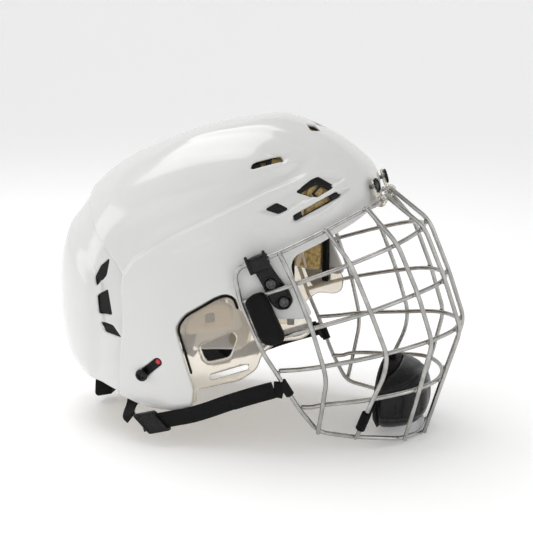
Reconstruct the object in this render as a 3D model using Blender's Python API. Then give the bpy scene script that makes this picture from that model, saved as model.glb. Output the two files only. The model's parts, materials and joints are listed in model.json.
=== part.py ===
"""Hockey helmet with a wire face cage, modelled as an assembly of separate pieces.

Frame: +X is the direction the wearer faces, +Y the wearer's left, +Z up, metres.
The helmet stands on the bottom of the cage and on its nape tab, nose pitched up.
The origin is on the symmetry plane, under the middle of the object's box, at z = 0.
Dimensions below are in millimetres and are turned into metres when a mesh is made.
"""

import math

import bmesh
import bpy
import numpy as np
from mathutils import Vector

MM = 0.001

# ---- placing of the working coordinates in the part's frame ----
SHIFT = (-1.98, 0.0, 0.77)

# ---- helmet shell ----
HUB_X, HUB_Z = -40.0, 120.0
PROFILE = [
    (-180, 138), (-165, 141), (-152, 145), (-141, 142), (-127, 141), (-110, 142), (-90, 145),
    (-60, 150), (-30, 152), (0, 156), (20, 163), (29, 170), (36, 178.5), (47, 177), (57, 172),
    (67, 167), (80, 152.5), (93, 142.5), (109, 136), (126, 136.5), (137, 137.5), (149, 138.5),
    (165, 138.5), (180, 138),
]
SIDE_POWER = 2.7
CROWN_POWER = 2.4
HALF_WIDTH = 103.0
FRONT_TAPER = 11.0
REAR_TAPER = 3.0
SHELL_WALL = 2.6
LIP_GAP = 0.4
SHELL_GRID = (56, 10)
INNER_GRID = (40, 8)
CUTTER_ROOT, CUTTER_REACH = 30.0, 130.0
FAR_AHEAD = 170.0
ABOVE_SHELL = 300.0

# ---- side panel and the valley round its upper and rear edge, in the side view ----
PANEL_EDGE = [(62, 232), (26, 217), (-4, 201), (-36, 185), (-64, 171), (-79, 160), (-89, 147),
              (-91, 130), (-90, 112), (-90, 40)]
VALLEY_DEPTH = 4.0
RISE_START, RISE_END = 21.0, 38.0

# ---- outlines in the side view ----
FRONT_OUTLINE = [
    (113, 204.5), (96, 192), (72, 178), (52, 168), (49, 160), (52, 148), (62, 128), (66, 119),
    (60, 115), (24, 116), (10, 121), (6, 134), (-1, 137), (-9, 135), (-37, 118), (-44, 107),
    (-31, 53), (-34, 36), (-40, 29), (-79, 28), (-98, 34),
]
SEAM = [(-103.5, 35), (-99, 60), (-92, 100), (-91, 130), (-94, 150), (-108, 168), (-128, 190),
        (-160, 238)]
SHELL_TOP = [(-160, 300), (150, 300), (150, 222)]
REAR_OUTLINE = [(-210, 56), (-140, 43), (-104, 35.3), (-101, 50), (-80, 50), (-79, 90),
                (-76, 108), (-76, 130), (-80, 146), (-97, 170), (-117, 190), (-148, 240),
                (-210, 240)]

# ---- size adjustment ----
SLOT_REAR = (-75.0, 63.0)
SLOT_FRONT = (-61.0, 75.0)
SLOT_WIDTH = 7.5
SCREW_STAND = 2.3
ARM_OUTLINE = [(-78.5, 51), (-62, 51), (-58, 56), (-58, 84), (-62, 89), (-78.5, 89)]
ARM_DEPTHS = (-3.2, -5.6)
SCREW_HOLE = 2.1

# ---- liner ----
LINER_DEPTHS = (-7.3, -16.0)
PAD_DEPTHS = (-16.4, -20.0)
REAR_LINER_DEPTHS = (-10.3, -18.0)
REAR_PAD_DEPTHS = (-18.4, -22.0)
FOREHEAD_OUTLINE = [(112, 208), (94, 195), (72, 181), (59, 174), (59, 300), (150, 300), (150, 225)]
CROWN_OUTLINE = [(58, 205), (58, 300), (-80, 300), (-80, 205)]
SIDE_OUTLINE = [(57, 174), (57, 204), (-58, 204), (-66, 150), (-58, 124), (-50, 124), (-20, 142),
                (-4, 146), (40, 146), (46, 158), (48, 168)]
REAR_LINER_OUTLINE = [(-93, 62), (-92, 150), (-112, 188), (-135, 222), (-210, 230), (-210, 68)]
FOREHEAD_PAD_OUTLINE = [(105, 209), (92, 199), (74, 189), (74, 232), (150, 232)]
REAR_PAD_OUTLINE = [(-120, 90), (-120, 140), (-210, 140), (-210, 90)]
TEMPLE_PAD_OUTLINE = [(44, 172), (44, 196), (-10, 190), (-10, 156), (34, 156)]

# ---- vents ----
SIDE_VENTS = [
    [(29, 206), (36, 210), (44, 206), (38, 203)],
    [(52, 219), (66, 228), (78, 222), (66, 215)],
    [(51, 196.5), (49, 200.5), (81, 218.5), (85, 215)],
    [(13, 236), (14, 241), (35, 247), (38, 243)],
]
REAR_VENTS = [
    [(-108, 158), (-110, 145), (-118, 136), (-120, 143), (-115, 152)],
    [(-109, 132), (-117, 126), (-116, 112), (-106, 111)],
    [(-114, 103), (-104, 101), (-96, 93), (-111, 96)],
]
TOP_VENT = [(46, 12), (52, 3), (59, 12), (52, 22)]
TOP_VENT_FLOOR = 230.0

# ---- clear ear guards ----
EAR_OUTLINE = [
    (-49, 112), (-40, 122.5), (-9, 141), (3, 142), (14, 133), (24, 121.5), (60, 121.5), (67, 114),
    (65.5, 101), (58, 96), (40, 95), (27, 84), (22, 70), (8, 59.5), (-14, 54), (-29, 50), (-30, 37),
    (-37, 31), (-52, 33), (-53.5, 42), (-40, 50), (-46, 80),
]
EAR_DEPTHS = (-3.3, -5.3)
EAR_WINDOW = [(-24, 91), (3, 104), (6.5, 99), (0.5, 82), (-19, 77)]
EAR_SLOT = ((-15, 62.5), (13, 72))
EAR_SLOT_WIDTH = 4.5
EAR_PAD_OUTLINE = [(-38, 98), (4, 106), (3, 126), (-12, 130), (-36, 116)]
EAR_PAD_DEPTHS = (-6.2, -14.0)

# ---- cage wire ----
WIRE = 1.9
JOIN_GAP = 0.3
WIRE_SIDES = 6
HINGE = (113.0, 206.5)
BEND = 9.0

PERIMETER = [
    (113.0, 0, 206.5), (113.0, 41, 206.5), (101, 52.5, 202), (76, 77, 189.5), (42, 96, 173.3),
    (10.5, 99.3, 160.5), (6.5, 99.5, 153), (11, 98.8, 131), (28, 93, 88), (38, 87.5, 70),
    (55, 76.5, 36), (70, 68, 13.5), (101, 61.5, 9.5), (137, 43, 4.2), (150, 17, 1.2), (151, 0, 0.8),
]
VERTICALS = [
    [(114, 17, 210.5), (148.5, 17.5, 184), (167.5, 18, 139), (182, 18.5, 97), (168, 18, 50),
     (153.8, 17, 1.2)],
    [(104.6, 53.8, 205.3), (131, 55, 176.5), (148.5, 51, 134.5), (161.5, 49.5, 93.5),
     (151.5, 48.5, 49.5), (140.5, 47, 4.6)],
    [(76.5, 81, 191.5), (97.5, 80, 163.5), (114, 77, 123.5), (127, 69.5, 86), (125, 68.5, 68),
     (114.5, 67.5, 43.5), (102, 66, 10)],
    [(43, 100.2, 175), (55, 94.5, 147), (69, 92.5, 110), (78, 87, 76), (79, 82, 63),
     (75, 77, 38.5), (70.5, 72.3, 13.5)],
]
# each horizontal: its end beside the perimeter wire, then the wire points it passes inside of
LEVELS = [
    {"name": "cage_horizontal_1", "ends": [(13.6, 98.2, 132), (33, 95.2, 139.5)], "at": 1},
    {"name": "cage_horizontal_2", "ends": [(28.2, 90.0, 96.5), (45, 89.8, 102.5)], "at": 2},
    {"name": "cage_horizontal_3", "ends": [(39.5, 83.6, 70.5), (57, 83.5, 73.0)], "at": 3},
    {"name": "cage_horizontal_4", "ends": [(56, 72.4, 36.0), (65, 72.4, 37.0)], "at": -2},
]
WIRE_HUB = (38.0, 0.0)

# ---- straps ----
WEB_WIDTH = 14.0
WEB_THICK = 1.8
STRAP_PATH = [(37, 91.4, 56.6), (22, 92.2, 51.4), (0, 93.4, 43), (-18, 94, 35.2),
              (-34, 94, 28.9), (-50, 94, 24.4), (-78, 94, 16.5)]
REAR_WEB_PATH = [(-88, 77, 54), (-89, 77, 45), (-91, 76.3, 36), (-92.5, 78, 29),
                 (-93.0, 84.5, 24), (-91.5, 90.0, 21.8), (-88.6, 92.0, 20.6)]


# --------------------------------------------------------------------------------------
# numbers and curves
# --------------------------------------------------------------------------------------

def smooth(low, high, value):
    """Smooth step from 0 at low to 1 at high."""
    t = np.clip((value - low) / (high - low), 0.0, 1.0)
    return t * t * (3.0 - 2.0 * t)


def profile_radius(angle):
    """Radius of the side silhouette, in mm, at an angle in degrees about the hub."""
    angles = np.array([p[0] for p in PROFILE], float)
    radii = np.array([p[1] for p in PROFILE], float)
    slopes = np.gradient(radii, angles)
    wrapped = (np.asarray(angle, float) + 180.0) % 360.0 - 180.0
    i = np.clip(np.searchsorted(angles, wrapped, side="right") - 1, 0, len(angles) - 2)
    width = angles[i + 1] - angles[i]
    t = (wrapped - angles[i]) / width
    h00 = (1 + 2 * t) * (1 - t) ** 2
    h10 = t * (1 - t) ** 2
    h01 = t * t * (3 - 2 * t)
    h11 = t * t * (t - 1)
    return (h00 * radii[i] + h10 * width * slopes[i]
            + h01 * radii[i + 1] + h11 * width * slopes[i + 1])


def half_width(x):
    """Half width of the shell at its widest height, in mm."""
    return HALF_WIDTH - FRONT_TAPER * smooth(-60, 70, x) - REAR_TAPER * smooth(-110, -190, x)


def shell_base(angle, lift):
    """Smooth shell: angle in degrees about the hub; lift 0 at the side pole, 90 at the middle."""
    reach = np.sin(np.radians(lift)) ** (2.0 / SIDE_POWER)
    x = HUB_X + profile_radius(angle) * reach * np.cos(np.radians(angle))
    z = HUB_Z + profile_radius(angle) * reach * np.sin(np.radians(angle))
    y = half_width(x) * np.abs(np.cos(np.radians(lift))) ** (2.0 / CROWN_POWER)
    return np.stack([x, y, z], axis=-1)


def shell_side(x, z):
    """Height |y| of the smooth shell over a point of the side view, in mm."""
    dx, dz = x - HUB_X, z - HUB_Z
    share = np.hypot(dx, dz) / profile_radius(np.degrees(np.arctan2(dz, dx)))
    return half_width(x) * np.clip(1 - share ** SIDE_POWER, 0, 1) ** (1 / CROWN_POWER)


def side_normal(x, z):
    """Outward unit normal of the smooth shell on the +Y side at a point of the side view."""
    step = 0.5
    slope_x = (shell_side(x + step, z) - shell_side(x - step, z)) / (2 * step)
    slope_z = (shell_side(x, z + step) - shell_side(x, z - step)) / (2 * step)
    normal = np.array([-slope_x, 1.0, -slope_z])
    return normal / np.linalg.norm(normal)


def distance_to_line(x, z, line):
    """Signed distance to a polyline in the side view, positive on its left when walked."""
    best = np.full(np.shape(x), 1e9)
    sign = np.ones(np.shape(x))
    for (ax, az), (bx, bz) in zip(line[:-1], line[1:]):
        ux, uz = bx - ax, bz - az
        t = np.clip(((x - ax) * ux + (z - az) * uz) / (ux * ux + uz * uz), 0, 1)
        gap = np.hypot(x - ax - t * ux, z - az - t * uz)
        side = np.where(ux * (z - az) - uz * (x - ax) >= 0, 1.0, -1.0)
        nearer = gap < best - 1e-6
        sign = np.where(nearer, side, sign)
        best = np.where(nearer, gap, best)
    return best * sign


def relief(x, z):
    """Valley that runs above and behind the raised side panel, in mm below the smooth shell."""
    outside = -distance_to_line(x, z, PANEL_EDGE)
    reach = 16 + 20 * smooth(30, -60, x)
    dip = smooth(0.0, 5.0, outside) * (1 - smooth(9.0, reach, outside))
    fade = smooth(64, 40, x) * smooth(88, 112, z) * smooth(-150, -128, x)
    return -VALLEY_DEPTH * dip * fade


def rear_relief(x, z):
    """Rear shell: level with the front shell, dropping under its lip in front of the seam."""
    behind = distance_to_line(x, z, SEAM)
    under = SHELL_WALL + LIP_GAP
    step = -under * (1 - smooth(RISE_START, RISE_END, behind))
    covered = behind < RISE_START
    valley = relief(x, z)
    return np.where(covered, valley - under, np.minimum(valley, step))


def level(x, z):
    """No relief, for the layers inside the shell."""
    return np.zeros(np.shape(x))


def side_reach(sign):
    """Limits across the helmet that keep one side only, in mm."""
    reach = (CUTTER_ROOT, CUTTER_REACH)
    return reach if sign > 0 else (-CUTTER_REACH, -CUTTER_ROOT)


def round_corners(points, radius, steps=3, closed=False):
    """Polyline whose corners are replaced by short arcs, made as quadratic curves."""
    points = [np.array(p, float) for p in points]
    count = len(points)
    out = []
    for i in range(count):
        if not closed and i in (0, count - 1):
            out.append(points[i])
            continue
        before, here, after = points[i - 1], points[i], points[(i + 1) % count]
        cut = min(radius, 0.45 * np.linalg.norm(before - here), 0.45 * np.linalg.norm(after - here))
        start = here + (before - here) / np.linalg.norm(before - here) * cut
        end = here + (after - here) / np.linalg.norm(after - here) * cut
        for k in range(steps + 1):
            t = k / steps
            out.append((1 - t) ** 2 * start + 2 * t * (1 - t) * here + t * t * end)
    return out


def spline(points, per_span=4):
    """Smooth curve through the points, ends included; each span is paced by its length."""
    pts = [np.array(p, float) for p in points]
    pts = [2 * pts[0] - pts[1]] + pts + [2 * pts[-1] - pts[-2]]
    out = []
    for i in range(1, len(pts) - 2):
        near = pts[i - 1:i + 3]
        knots = np.cumsum([0.0] + [math.sqrt(np.linalg.norm(b - a)) for a, b in zip(near, near[1:])])
        for t in np.linspace(knots[1], knots[2], per_span, endpoint=False):
            row = near
            for low, high in (((0, 1, 2), (1, 2, 3)), ((0, 1), (2, 3)), ((1,), (2,))):
                row = [(row[k] * (knots[b] - t) + row[k + 1] * (t - knots[a])) / (knots[b] - knots[a])
                       for k, (a, b) in enumerate(zip(low, high))]
            out.append(row[0])
    out.append(pts[-2])
    return out


def mirrored(points):
    """The same points on the other side of the symmetry plane."""
    return [(p[0], -p[1], p[2]) for p in points]


# --------------------------------------------------------------------------------------
# materials and objects
# --------------------------------------------------------------------------------------

MATERIALS = {
    "white_shell": ((0.90, 0.90, 0.88), 0.18, 0.0, 1.0),
    "clear_plastic": ((0.90, 0.84, 0.78), 0.10, 0.0, 0.35),
    "foam_liner": ((0.42, 0.32, 0.17), 0.85, 0.0, 1.0),
    "comfort_foam": ((0.62, 0.54, 0.46), 0.90, 0.0, 1.0),
    "cage_wire": ((0.55, 0.54, 0.52), 0.30, 1.0, 1.0),
    "black_plastic": ((0.015, 0.015, 0.017), 0.35, 0.0, 1.0),
    "black_rubber": ((0.012, 0.012, 0.013), 0.60, 0.0, 1.0),
    "black_webbing": ((0.012, 0.012, 0.013), 0.90, 0.0, 1.0),
    "screw_steel": ((0.35, 0.34, 0.33), 0.30, 1.0, 1.0),
}


def material(slot):
    """The named Principled material, made on first use."""
    found = bpy.data.materials.get(slot)
    if found:
        return found
    color, roughness, metallic, alpha = MATERIALS[slot]
    made = bpy.data.materials.new(slot)
    made.use_nodes = True
    shader = made.node_tree.nodes["Principled BSDF"]
    shader.inputs["Base Color"].default_value = (*color, 1.0)
    shader.inputs["Roughness"].default_value = roughness
    shader.inputs["Metallic"].default_value = metallic
    shader.inputs["Alpha"].default_value = alpha
    return made


def add_object(name, verts, faces, slot=None, parent=None):
    """Mesh object from millimetre points; without a slot it is a hidden cutter."""
    mesh = bpy.data.meshes.new(name)
    placed = [[(p[i] + SHIFT[i]) * MM for i in range(3)] for p in verts]
    mesh.from_pydata(placed, [], faces)
    mesh.validate()
    bm = bmesh.new()
    bm.from_mesh(mesh)
    bmesh.ops.recalc_face_normals(bm, faces=bm.faces)
    bm.to_mesh(mesh)
    bm.free()
    obj = bpy.data.objects.new(name, mesh)
    bpy.context.scene.collection.objects.link(obj)
    if slot is None:
        obj.hide_render = True
        obj.display_type = "WIRE"
        return obj
    mesh.materials.append(material(slot))
    mesh.shade_smooth()
    mesh.set_sharp_from_angle(angle=math.radians(35))
    if parent:
        obj.parent = parent
        obj.matrix_parent_inverse = parent.matrix_basis.inverted()
    return obj


def boolean(obj, cutter, operation):
    """Exact Boolean kept on the object."""
    mod = obj.modifiers.new(operation.lower(), "BOOLEAN")
    mod.operation = operation
    mod.solver = "EXACT"
    mod.object = cutter
    return mod


def joint_empty(name, x, y, z):
    """Empty on a joint's axis, the parent of the body that moves."""
    empty = bpy.data.objects.new(name, None)
    empty.location = ((x + SHIFT[0]) * MM, (y + SHIFT[1]) * MM, (z + SHIFT[2]) * MM)
    bpy.context.scene.collection.objects.link(empty)
    return empty


# --------------------------------------------------------------------------------------
# shapes
# --------------------------------------------------------------------------------------

def egg(offset, relief_of, grid):
    """Closed dome surface, offset along its normal, both sides joined at the middle plane."""
    ring_steps, side_steps = grid
    angles = np.linspace(-180, 180, ring_steps, endpoint=False)
    lifts = 90 * (np.arange(1, side_steps + 1) / side_steps) ** 0.85
    rows = []
    for sign, steps in ((1, lifts), (-1, lifts[-2::-1])):
        for lift in steps:
            rows.append((sign, lift))
    verts = []
    for sign, lift in rows:
        here = shell_base(angles, np.full(angles.shape, lift))
        normal = surface_normals(angles, lift)
        push = offset + relief_of(here[:, 0], here[:, 2])
        moved = here + normal * push[:, None]
        if lift > 89.9:
            moved[:, 1] = 0.0
        moved[:, 1] *= sign
        verts += [tuple(p) for p in moved]
    faces = []
    for r in range(len(rows) - 1):
        for k in range(ring_steps):
            n = (k + 1) % ring_steps
            a, b = r * ring_steps + k, r * ring_steps + n
            faces.append((a, b, b + ring_steps))
            faces.append((a, b + ring_steps, a + ring_steps))
    pole = half_width(HUB_X) + offset + float(relief_of(np.array([HUB_X]), np.array([HUB_Z]))[0])
    for sign, first in ((1, 0), (-1, (len(rows) - 1) * ring_steps)):
        verts.append((HUB_X, sign * pole, HUB_Z))
        top = len(verts) - 1
        faces += [(first + k, first + (k + 1) % ring_steps, top) for k in range(ring_steps)]
    return verts, faces


def surface_normals(angles, lift):
    """Outward normals along one ring, from the smooth shell's two tangents."""
    low, high = max(lift - 0.5, 0.2), min(lift + 0.5, 89.9)
    across = shell_base(angles, np.full(angles.shape, high)) - shell_base(
        angles, np.full(angles.shape, low))
    along = shell_base(angles + 0.5, np.full(angles.shape, min(lift, 89.9))) - shell_base(
        angles - 0.5, np.full(angles.shape, min(lift, 89.9)))
    normal = np.cross(along, across)
    normal /= np.linalg.norm(normal, axis=1)[:, None]
    out = np.stack([np.cos(np.radians(angles)), np.full(angles.shape, 0.3),
                    np.sin(np.radians(angles))], axis=-1)
    flip = np.sign(np.sum(normal * out, axis=1))
    return normal * flip[:, None]


def prism(name, outline, low_y, high_y, slot=None, parent=None):
    """Side-view outline extruded across the helmet."""
    count = len(outline)
    verts = [(p[0], low_y, p[1]) for p in outline] + [(p[0], high_y, p[1]) for p in outline]
    faces = [tuple(range(count)), tuple(range(2 * count - 1, count - 1, -1))]
    faces += [(i, (i + 1) % count, count + (i + 1) % count, count + i) for i in range(count)]
    return add_object(name, verts, faces, slot, parent)


def layer(name, outer, inner, outline, slot, parent, relief_of, low_y=-CUTTER_REACH, high_y=CUTTER_REACH,
          grid=INNER_GRID):
    """Part of the dome between two offsets, kept inside a side-view outline."""
    verts, faces = egg(outer, relief_of, grid)
    obj = add_object(name, verts, faces, slot, parent)
    hollow = add_object(name + "_hollow", *egg(inner, relief_of, grid))
    boolean(obj, hollow, "DIFFERENCE")
    keep = prism(name + "_keep", outline, low_y, high_y)
    boolean(obj, keep, "INTERSECT")
    return obj


def tube(name, points, radius, slot, parent=None, closed=False, sides=WIRE_SIDES):
    """Round bar along a path of millimetre points."""
    pts = [Vector(p) for p in points]
    count = len(pts)
    verts, faces = [], []
    guide = Vector((0, 0, 1))
    for i, here in enumerate(pts):
        after = pts[(i + 1) % count] if closed or i < count - 1 else here
        before = pts[i - 1] if closed or i > 0 else here
        along = (after - before).normalized()
        side = along.cross(guide)
        if side.length < 0.2:
            side = along.cross(Vector((1, 0, 0)))
        side.normalize()
        guide = side.cross(along).normalized()
        for k in range(sides):
            turn = 2 * math.pi * k / sides
            verts.append(tuple(here + radius * (math.cos(turn) * side + math.sin(turn) * guide)))
    spans = count if closed else count - 1
    for i in range(spans):
        n = (i + 1) % count
        for k in range(sides):
            m = (k + 1) % sides
            faces.append((i * sides + k, i * sides + m, n * sides + m, n * sides + k))
    if not closed:
        faces.append(tuple(range(sides)))
        faces.append(tuple((count - 1) * sides + k for k in range(sides)))
    return add_object(name, verts, faces, slot, parent)


def ribbon(name, points, up_of, width, thick, slot, parent):
    """Flat strap along a path; up_of gives the direction of its width at each point."""
    pts = [Vector(p) for p in points]
    verts, faces = [], []
    for i, here in enumerate(pts):
        along = (pts[min(i + 1, len(pts) - 1)] - pts[max(i - 1, 0)]).normalized()
        wide = Vector(up_of(i / (len(pts) - 1)))
        wide = (wide - along * wide.dot(along)).normalized()
        face = along.cross(wide).normalized()
        for a, b in ((-1, -1), (1, -1), (1, 1), (-1, 1)):
            verts.append(tuple(here + wide * (a * width / 2) + face * (b * thick / 2)))
    for i in range(len(pts) - 1):
        for k in range(4):
            m = (k + 1) % 4
            faces.append((4 * i + k, 4 * i + m, 4 * i + 4 + m, 4 * i + 4 + k))
    faces.append((0, 1, 2, 3))
    last = 4 * (len(pts) - 1)
    faces.append((last, last + 1, last + 2, last + 3))
    return add_object(name, verts, faces, slot, parent)


def disc(center, normal, radius, low, high, sides=14):
    """Points and faces of a short cylinder along a normal, as loose lists."""
    axis = Vector(normal).normalized()
    side = axis.orthogonal().normalized()
    up = axis.cross(side)
    verts, faces = [], []
    for level in (low, high):
        for k in range(sides):
            turn = 2 * math.pi * k / sides
            verts.append(tuple(Vector(center) + axis * level
                               + radius * (math.cos(turn) * side + math.sin(turn) * up)))
    faces.append(tuple(range(sides)))
    faces.append(tuple(range(sides, 2 * sides)))
    for k in range(sides):
        m = (k + 1) % sides
        faces.append((k, m, sides + m, sides + k))
    return verts, faces


def object_from(name, pieces, slot, parent):
    """Object made from one or more loose lists of points and faces."""
    verts, faces = [], []
    for piece_verts, piece_faces in pieces:
        base = len(verts)
        verts += piece_verts
        faces += [tuple(i + base for i in face) for face in piece_faces]
    return add_object(name, verts, faces, slot, parent)


def screw(x, z, sign, radius, foot, height, depth):
    """Screw head and shank on the side of the shell: foot is the head's seat above the shell."""
    side = float(shell_side(np.array(x), np.array(z)))
    normal = side_normal(x, z)
    center = (x, side, z)
    profile = [(0.0, foot + height), (radius * 0.7, foot + height), (radius, foot + height * 0.55),
               (radius, foot), (1.8, foot), (1.8, -depth), (0.0, -depth)]
    return turned(center, normal, profile, sign)


def turned(center, normal, profile, sign, sides=12):
    """Solid of revolution about a normal; the profile is (radius, height), top to bottom."""
    axis = Vector(normal).normalized()
    side = axis.orthogonal().normalized()
    up = axis.cross(side)
    verts, faces, rings = [], [], []
    for radius, height in profile:
        if radius == 0.0:
            verts.append(Vector(center) + axis * height)
            rings.append([len(verts) - 1])
            continue
        ring = []
        for k in range(sides):
            turn = 2 * math.pi * k / sides
            verts.append(Vector(center) + axis * height
                         + radius * (math.cos(turn) * side + math.sin(turn) * up))
            ring.append(len(verts) - 1)
        rings.append(ring)
    for upper, lower in zip(rings[:-1], rings[1:]):
        for k in range(sides):
            m = (k + 1) % sides
            if len(upper) == 1:
                faces.append((upper[0], lower[k], lower[m]))
            elif len(lower) == 1:
                faces.append((upper[k], upper[m], lower[0]))
            else:
                faces.append((upper[k], upper[m], lower[m], lower[k]))
    return [(v.x, sign * v.y, v.z) for v in verts], faces


def side_plate(outline, outer, inner, sign):
    """Curved plate that follows the shell's side between two offsets from it."""
    count = len(outline)
    verts = []
    for offset in (outer, inner):
        for x, z in outline:
            normal = side_normal(x, z)
            base = np.array([x, float(shell_side(np.array(x), np.array(z))), z])
            point = base + normal * offset
            verts.append((point[0], sign * point[1], point[2]))
    faces = [(i, (i + 1) % count, count + (i + 1) % count, count + i) for i in range(count)]
    triangles = fan_triangles(outline)
    faces += triangles
    faces += [tuple(count + i for i in tri) for tri in triangles]
    return verts, faces


def fan_triangles(outline):
    """Ear-clipped triangles of a simple outline, as index triples."""
    points = [Vector((p[0], p[1], 0)) for p in outline]
    area = sum(points[i - 1].x * points[i].y - points[i].x * points[i - 1].y
               for i in range(len(points)))
    order = list(range(len(points)))
    if area < 0:
        order.reverse()
    triangles = []
    while len(order) > 3:
        best = None
        for k in range(len(order)):
            a, b, c = order[k - 1], order[k], order[(k + 1) % len(order)]
            ab, bc = points[b] - points[a], points[c] - points[b]
            if ab.x * bc.y - ab.y * bc.x <= 1e-9:
                continue
            others = [points[i] for i in order if i not in (a, b, c)]
            if any(inside_triangle(p, points[a], points[b], points[c]) for p in others):
                continue
            reach = (points[a] - points[c]).length
            if best is None or reach < best[0]:
                best = (reach, k, (a, b, c))
        triangles.append(best[2])
        order.pop(best[1])
    triangles.append(tuple(order))
    return triangles


def inside_triangle(p, a, b, c):
    """Whether a point lies in a counter-clockwise triangle, edges included."""
    for start, end in ((a, b), (b, c), (c, a)):
        if (end.x - start.x) * (p.y - start.y) - (end.y - start.y) * (p.x - start.x) < -1e-9:
            return False
    return True


# --------------------------------------------------------------------------------------
# the helmet's bodies
# --------------------------------------------------------------------------------------

def both_sides(build):
    """Run a builder for the wearer's right and left side."""
    for label, sign in (("right", -1), ("left", 1)):
        build(label, sign)


def cutter_from(name, pieces):
    """One hidden cutter made of several solids."""
    return object_from(name, pieces, None, None)


def prism_pieces(outlines, low_y, high_y):
    """Side-view prisms on both sides of the helmet, as loose lists."""
    pieces = []
    for outline in outlines:
        count = len(outline)
        for sign in (-1, 1):
            verts = [(p[0], sign * low_y, p[1]) for p in outline]
            verts += [(p[0], sign * high_y, p[1]) for p in outline]
            faces = [tuple(range(count)), tuple(range(2 * count - 1, count - 1, -1))]
            faces += [(i, (i + 1) % count, count + (i + 1) % count, count + i)
                      for i in range(count)]
            pieces.append((verts, faces))
    return pieces


def slot_outline(start, end, width, steps=5):
    """Long hole with round ends in the side view."""
    along = math.atan2(end[1] - start[1], end[0] - start[0])
    points = []
    for center, first in ((end, along - math.pi / 2), (start, along + math.pi / 2)):
        for k in range(steps + 1):
            turn = first + math.pi * k / steps
            points.append((center[0] + width / 2 * math.cos(turn),
                           center[1] + width / 2 * math.sin(turn)))
    return points


def hole_pieces(places, radius):
    """Screw holes square to the shell's sides, on both sides."""
    pieces = []
    for x, z in places:
        side = float(shell_side(np.array(x), np.array(z)))
        normal = side_normal(x, z)
        for sign in (-1, 1):
            center = (x, sign * side, z)
            axis = (normal[0], sign * normal[1], normal[2])
            pieces.append(disc(center, axis, radius, -9, 9, 10))
    return pieces


CLIP_SCREWS = [(43.5, 131.0), (33.5, 146.0)]


def build_front_shell():
    """White front shell with its vents, size slot and screw holes."""
    outline = FRONT_OUTLINE + SEAM + SHELL_TOP
    shell = layer("front_shell", 0.0, -SHELL_WALL, outline, "white_shell", None, relief,
                  grid=SHELL_GRID)
    cuts = prism_pieces(SIDE_VENTS, CUTTER_ROOT, CUTTER_REACH)
    cuts += prism_pieces([slot_outline(SLOT_REAR, SLOT_FRONT, SLOT_WIDTH)], CUTTER_ROOT,
                         CUTTER_REACH)
    boolean(shell, cutter_from("front_vent_cutter", cuts), "DIFFERENCE")
    tops = []
    for sign in (-1, 1):
        verts = [(x, sign * y, level) for level in (TOP_VENT_FLOOR, ABOVE_SHELL)
                 for x, y in TOP_VENT]
        faces = [(0, 1, 2, 3), (7, 6, 5, 4)]
        faces += [(i, (i + 1) % 4, 4 + (i + 1) % 4, 4 + i) for i in range(4)]
        tops.append((verts, faces))
    tops += hole_pieces(CLIP_SCREWS, SCREW_HOLE)
    tops += [disc(hinge_screw_center(s), hinge_screw_axis(), SCREW_HOLE, -12, 9, 10)
             for s in (-1, 1)]
    boolean(shell, cutter_from("front_hole_cutter", tops), "DIFFERENCE")


def build_rear_shell():
    """White rear shell, which slides under the front one."""
    rear = layer("rear_shell", 0.0, -SHELL_WALL + 0.2, REAR_OUTLINE, "white_shell", REAR_BODY,
                 rear_relief, grid=SHELL_GRID)
    cuts = prism_pieces(REAR_VENTS, CUTTER_ROOT, CUTTER_REACH)
    boolean(rear, cutter_from("rear_vent_cutter", cuts), "DIFFERENCE")


def build_liners():
    """Bead-foam liner blocks and soft pads."""
    layer("liner_forehead", *LINER_DEPTHS, FOREHEAD_OUTLINE, "foam_liner", None, level)
    layer("liner_crown", *LINER_DEPTHS, CROWN_OUTLINE, "foam_liner", None, level)
    layer("pad_forehead", *PAD_DEPTHS, FOREHEAD_PAD_OUTLINE, "comfort_foam", None, level)
    layer("liner_rear", *REAR_LINER_DEPTHS, REAR_LINER_OUTLINE, "foam_liner", REAR_BODY, level)
    layer("pad_rear", *REAR_PAD_DEPTHS, REAR_PAD_OUTLINE, "comfort_foam", REAR_BODY, level)

    def sides(label, sign):
        reach = side_reach(sign)
        layer("liner_side_" + label, *LINER_DEPTHS, SIDE_OUTLINE, "foam_liner", None, level,
              *reach)
        layer("pad_temple_" + label, *PAD_DEPTHS, TEMPLE_PAD_OUTLINE, "comfort_foam", None,
              level, *reach)
        layer("ear_pad_" + label, *EAR_PAD_DEPTHS, EAR_PAD_OUTLINE, "comfort_foam", None, level,
              *reach)

    both_sides(sides)


def build_ear_guards():
    """Clear ear guards behind the side openings."""
    def side(label, sign):
        guard = layer("ear_guard_" + label, *EAR_DEPTHS, EAR_OUTLINE, "clear_plastic", None,
                      relief, *side_reach(sign), SHELL_GRID)
        windows = prism_pieces([EAR_WINDOW, slot_outline(*EAR_SLOT, EAR_SLOT_WIDTH)], 60, 120)
        boolean(guard, cutter_from("ear_window_" + label, windows), "DIFFERENCE")

    both_sides(side)


def build_size_adjusters():
    """Arms of the rear shell and the screws in the size slots."""
    def side(label, sign):
        arm = layer("size_arm_" + label, *ARM_DEPTHS, ARM_OUTLINE, "black_plastic", REAR_BODY,
                    relief, *side_reach(sign), SHELL_GRID)
        hole = cutter_from("size_hole_" + label, hole_pieces([SLOT_REAR], SCREW_HOLE))
        boolean(arm, hole, "DIFFERENCE")
        object_from("size_screw_" + label, [screw(*SLOT_REAR, sign, 5.4, SCREW_STAND, 2.4, 7.5)],
              "black_plastic", REAR_BODY)

    both_sides(side)


# --------------------------------------------------------------------------------------
# clips that hold the cage
# --------------------------------------------------------------------------------------

HINGE_CLIP_Y = 26.5
HINGE_CLIP_HALF = 5.5
HINGE_RING = 4.8
HINGE_BORE = 2.25
HINGE_TAIL = [(104.2, 223), (106.8, 224.2), (109.6, 214.5)]
HINGE_TAIL_BACK = [(107.9, 207), (107.2, 212)]


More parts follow.
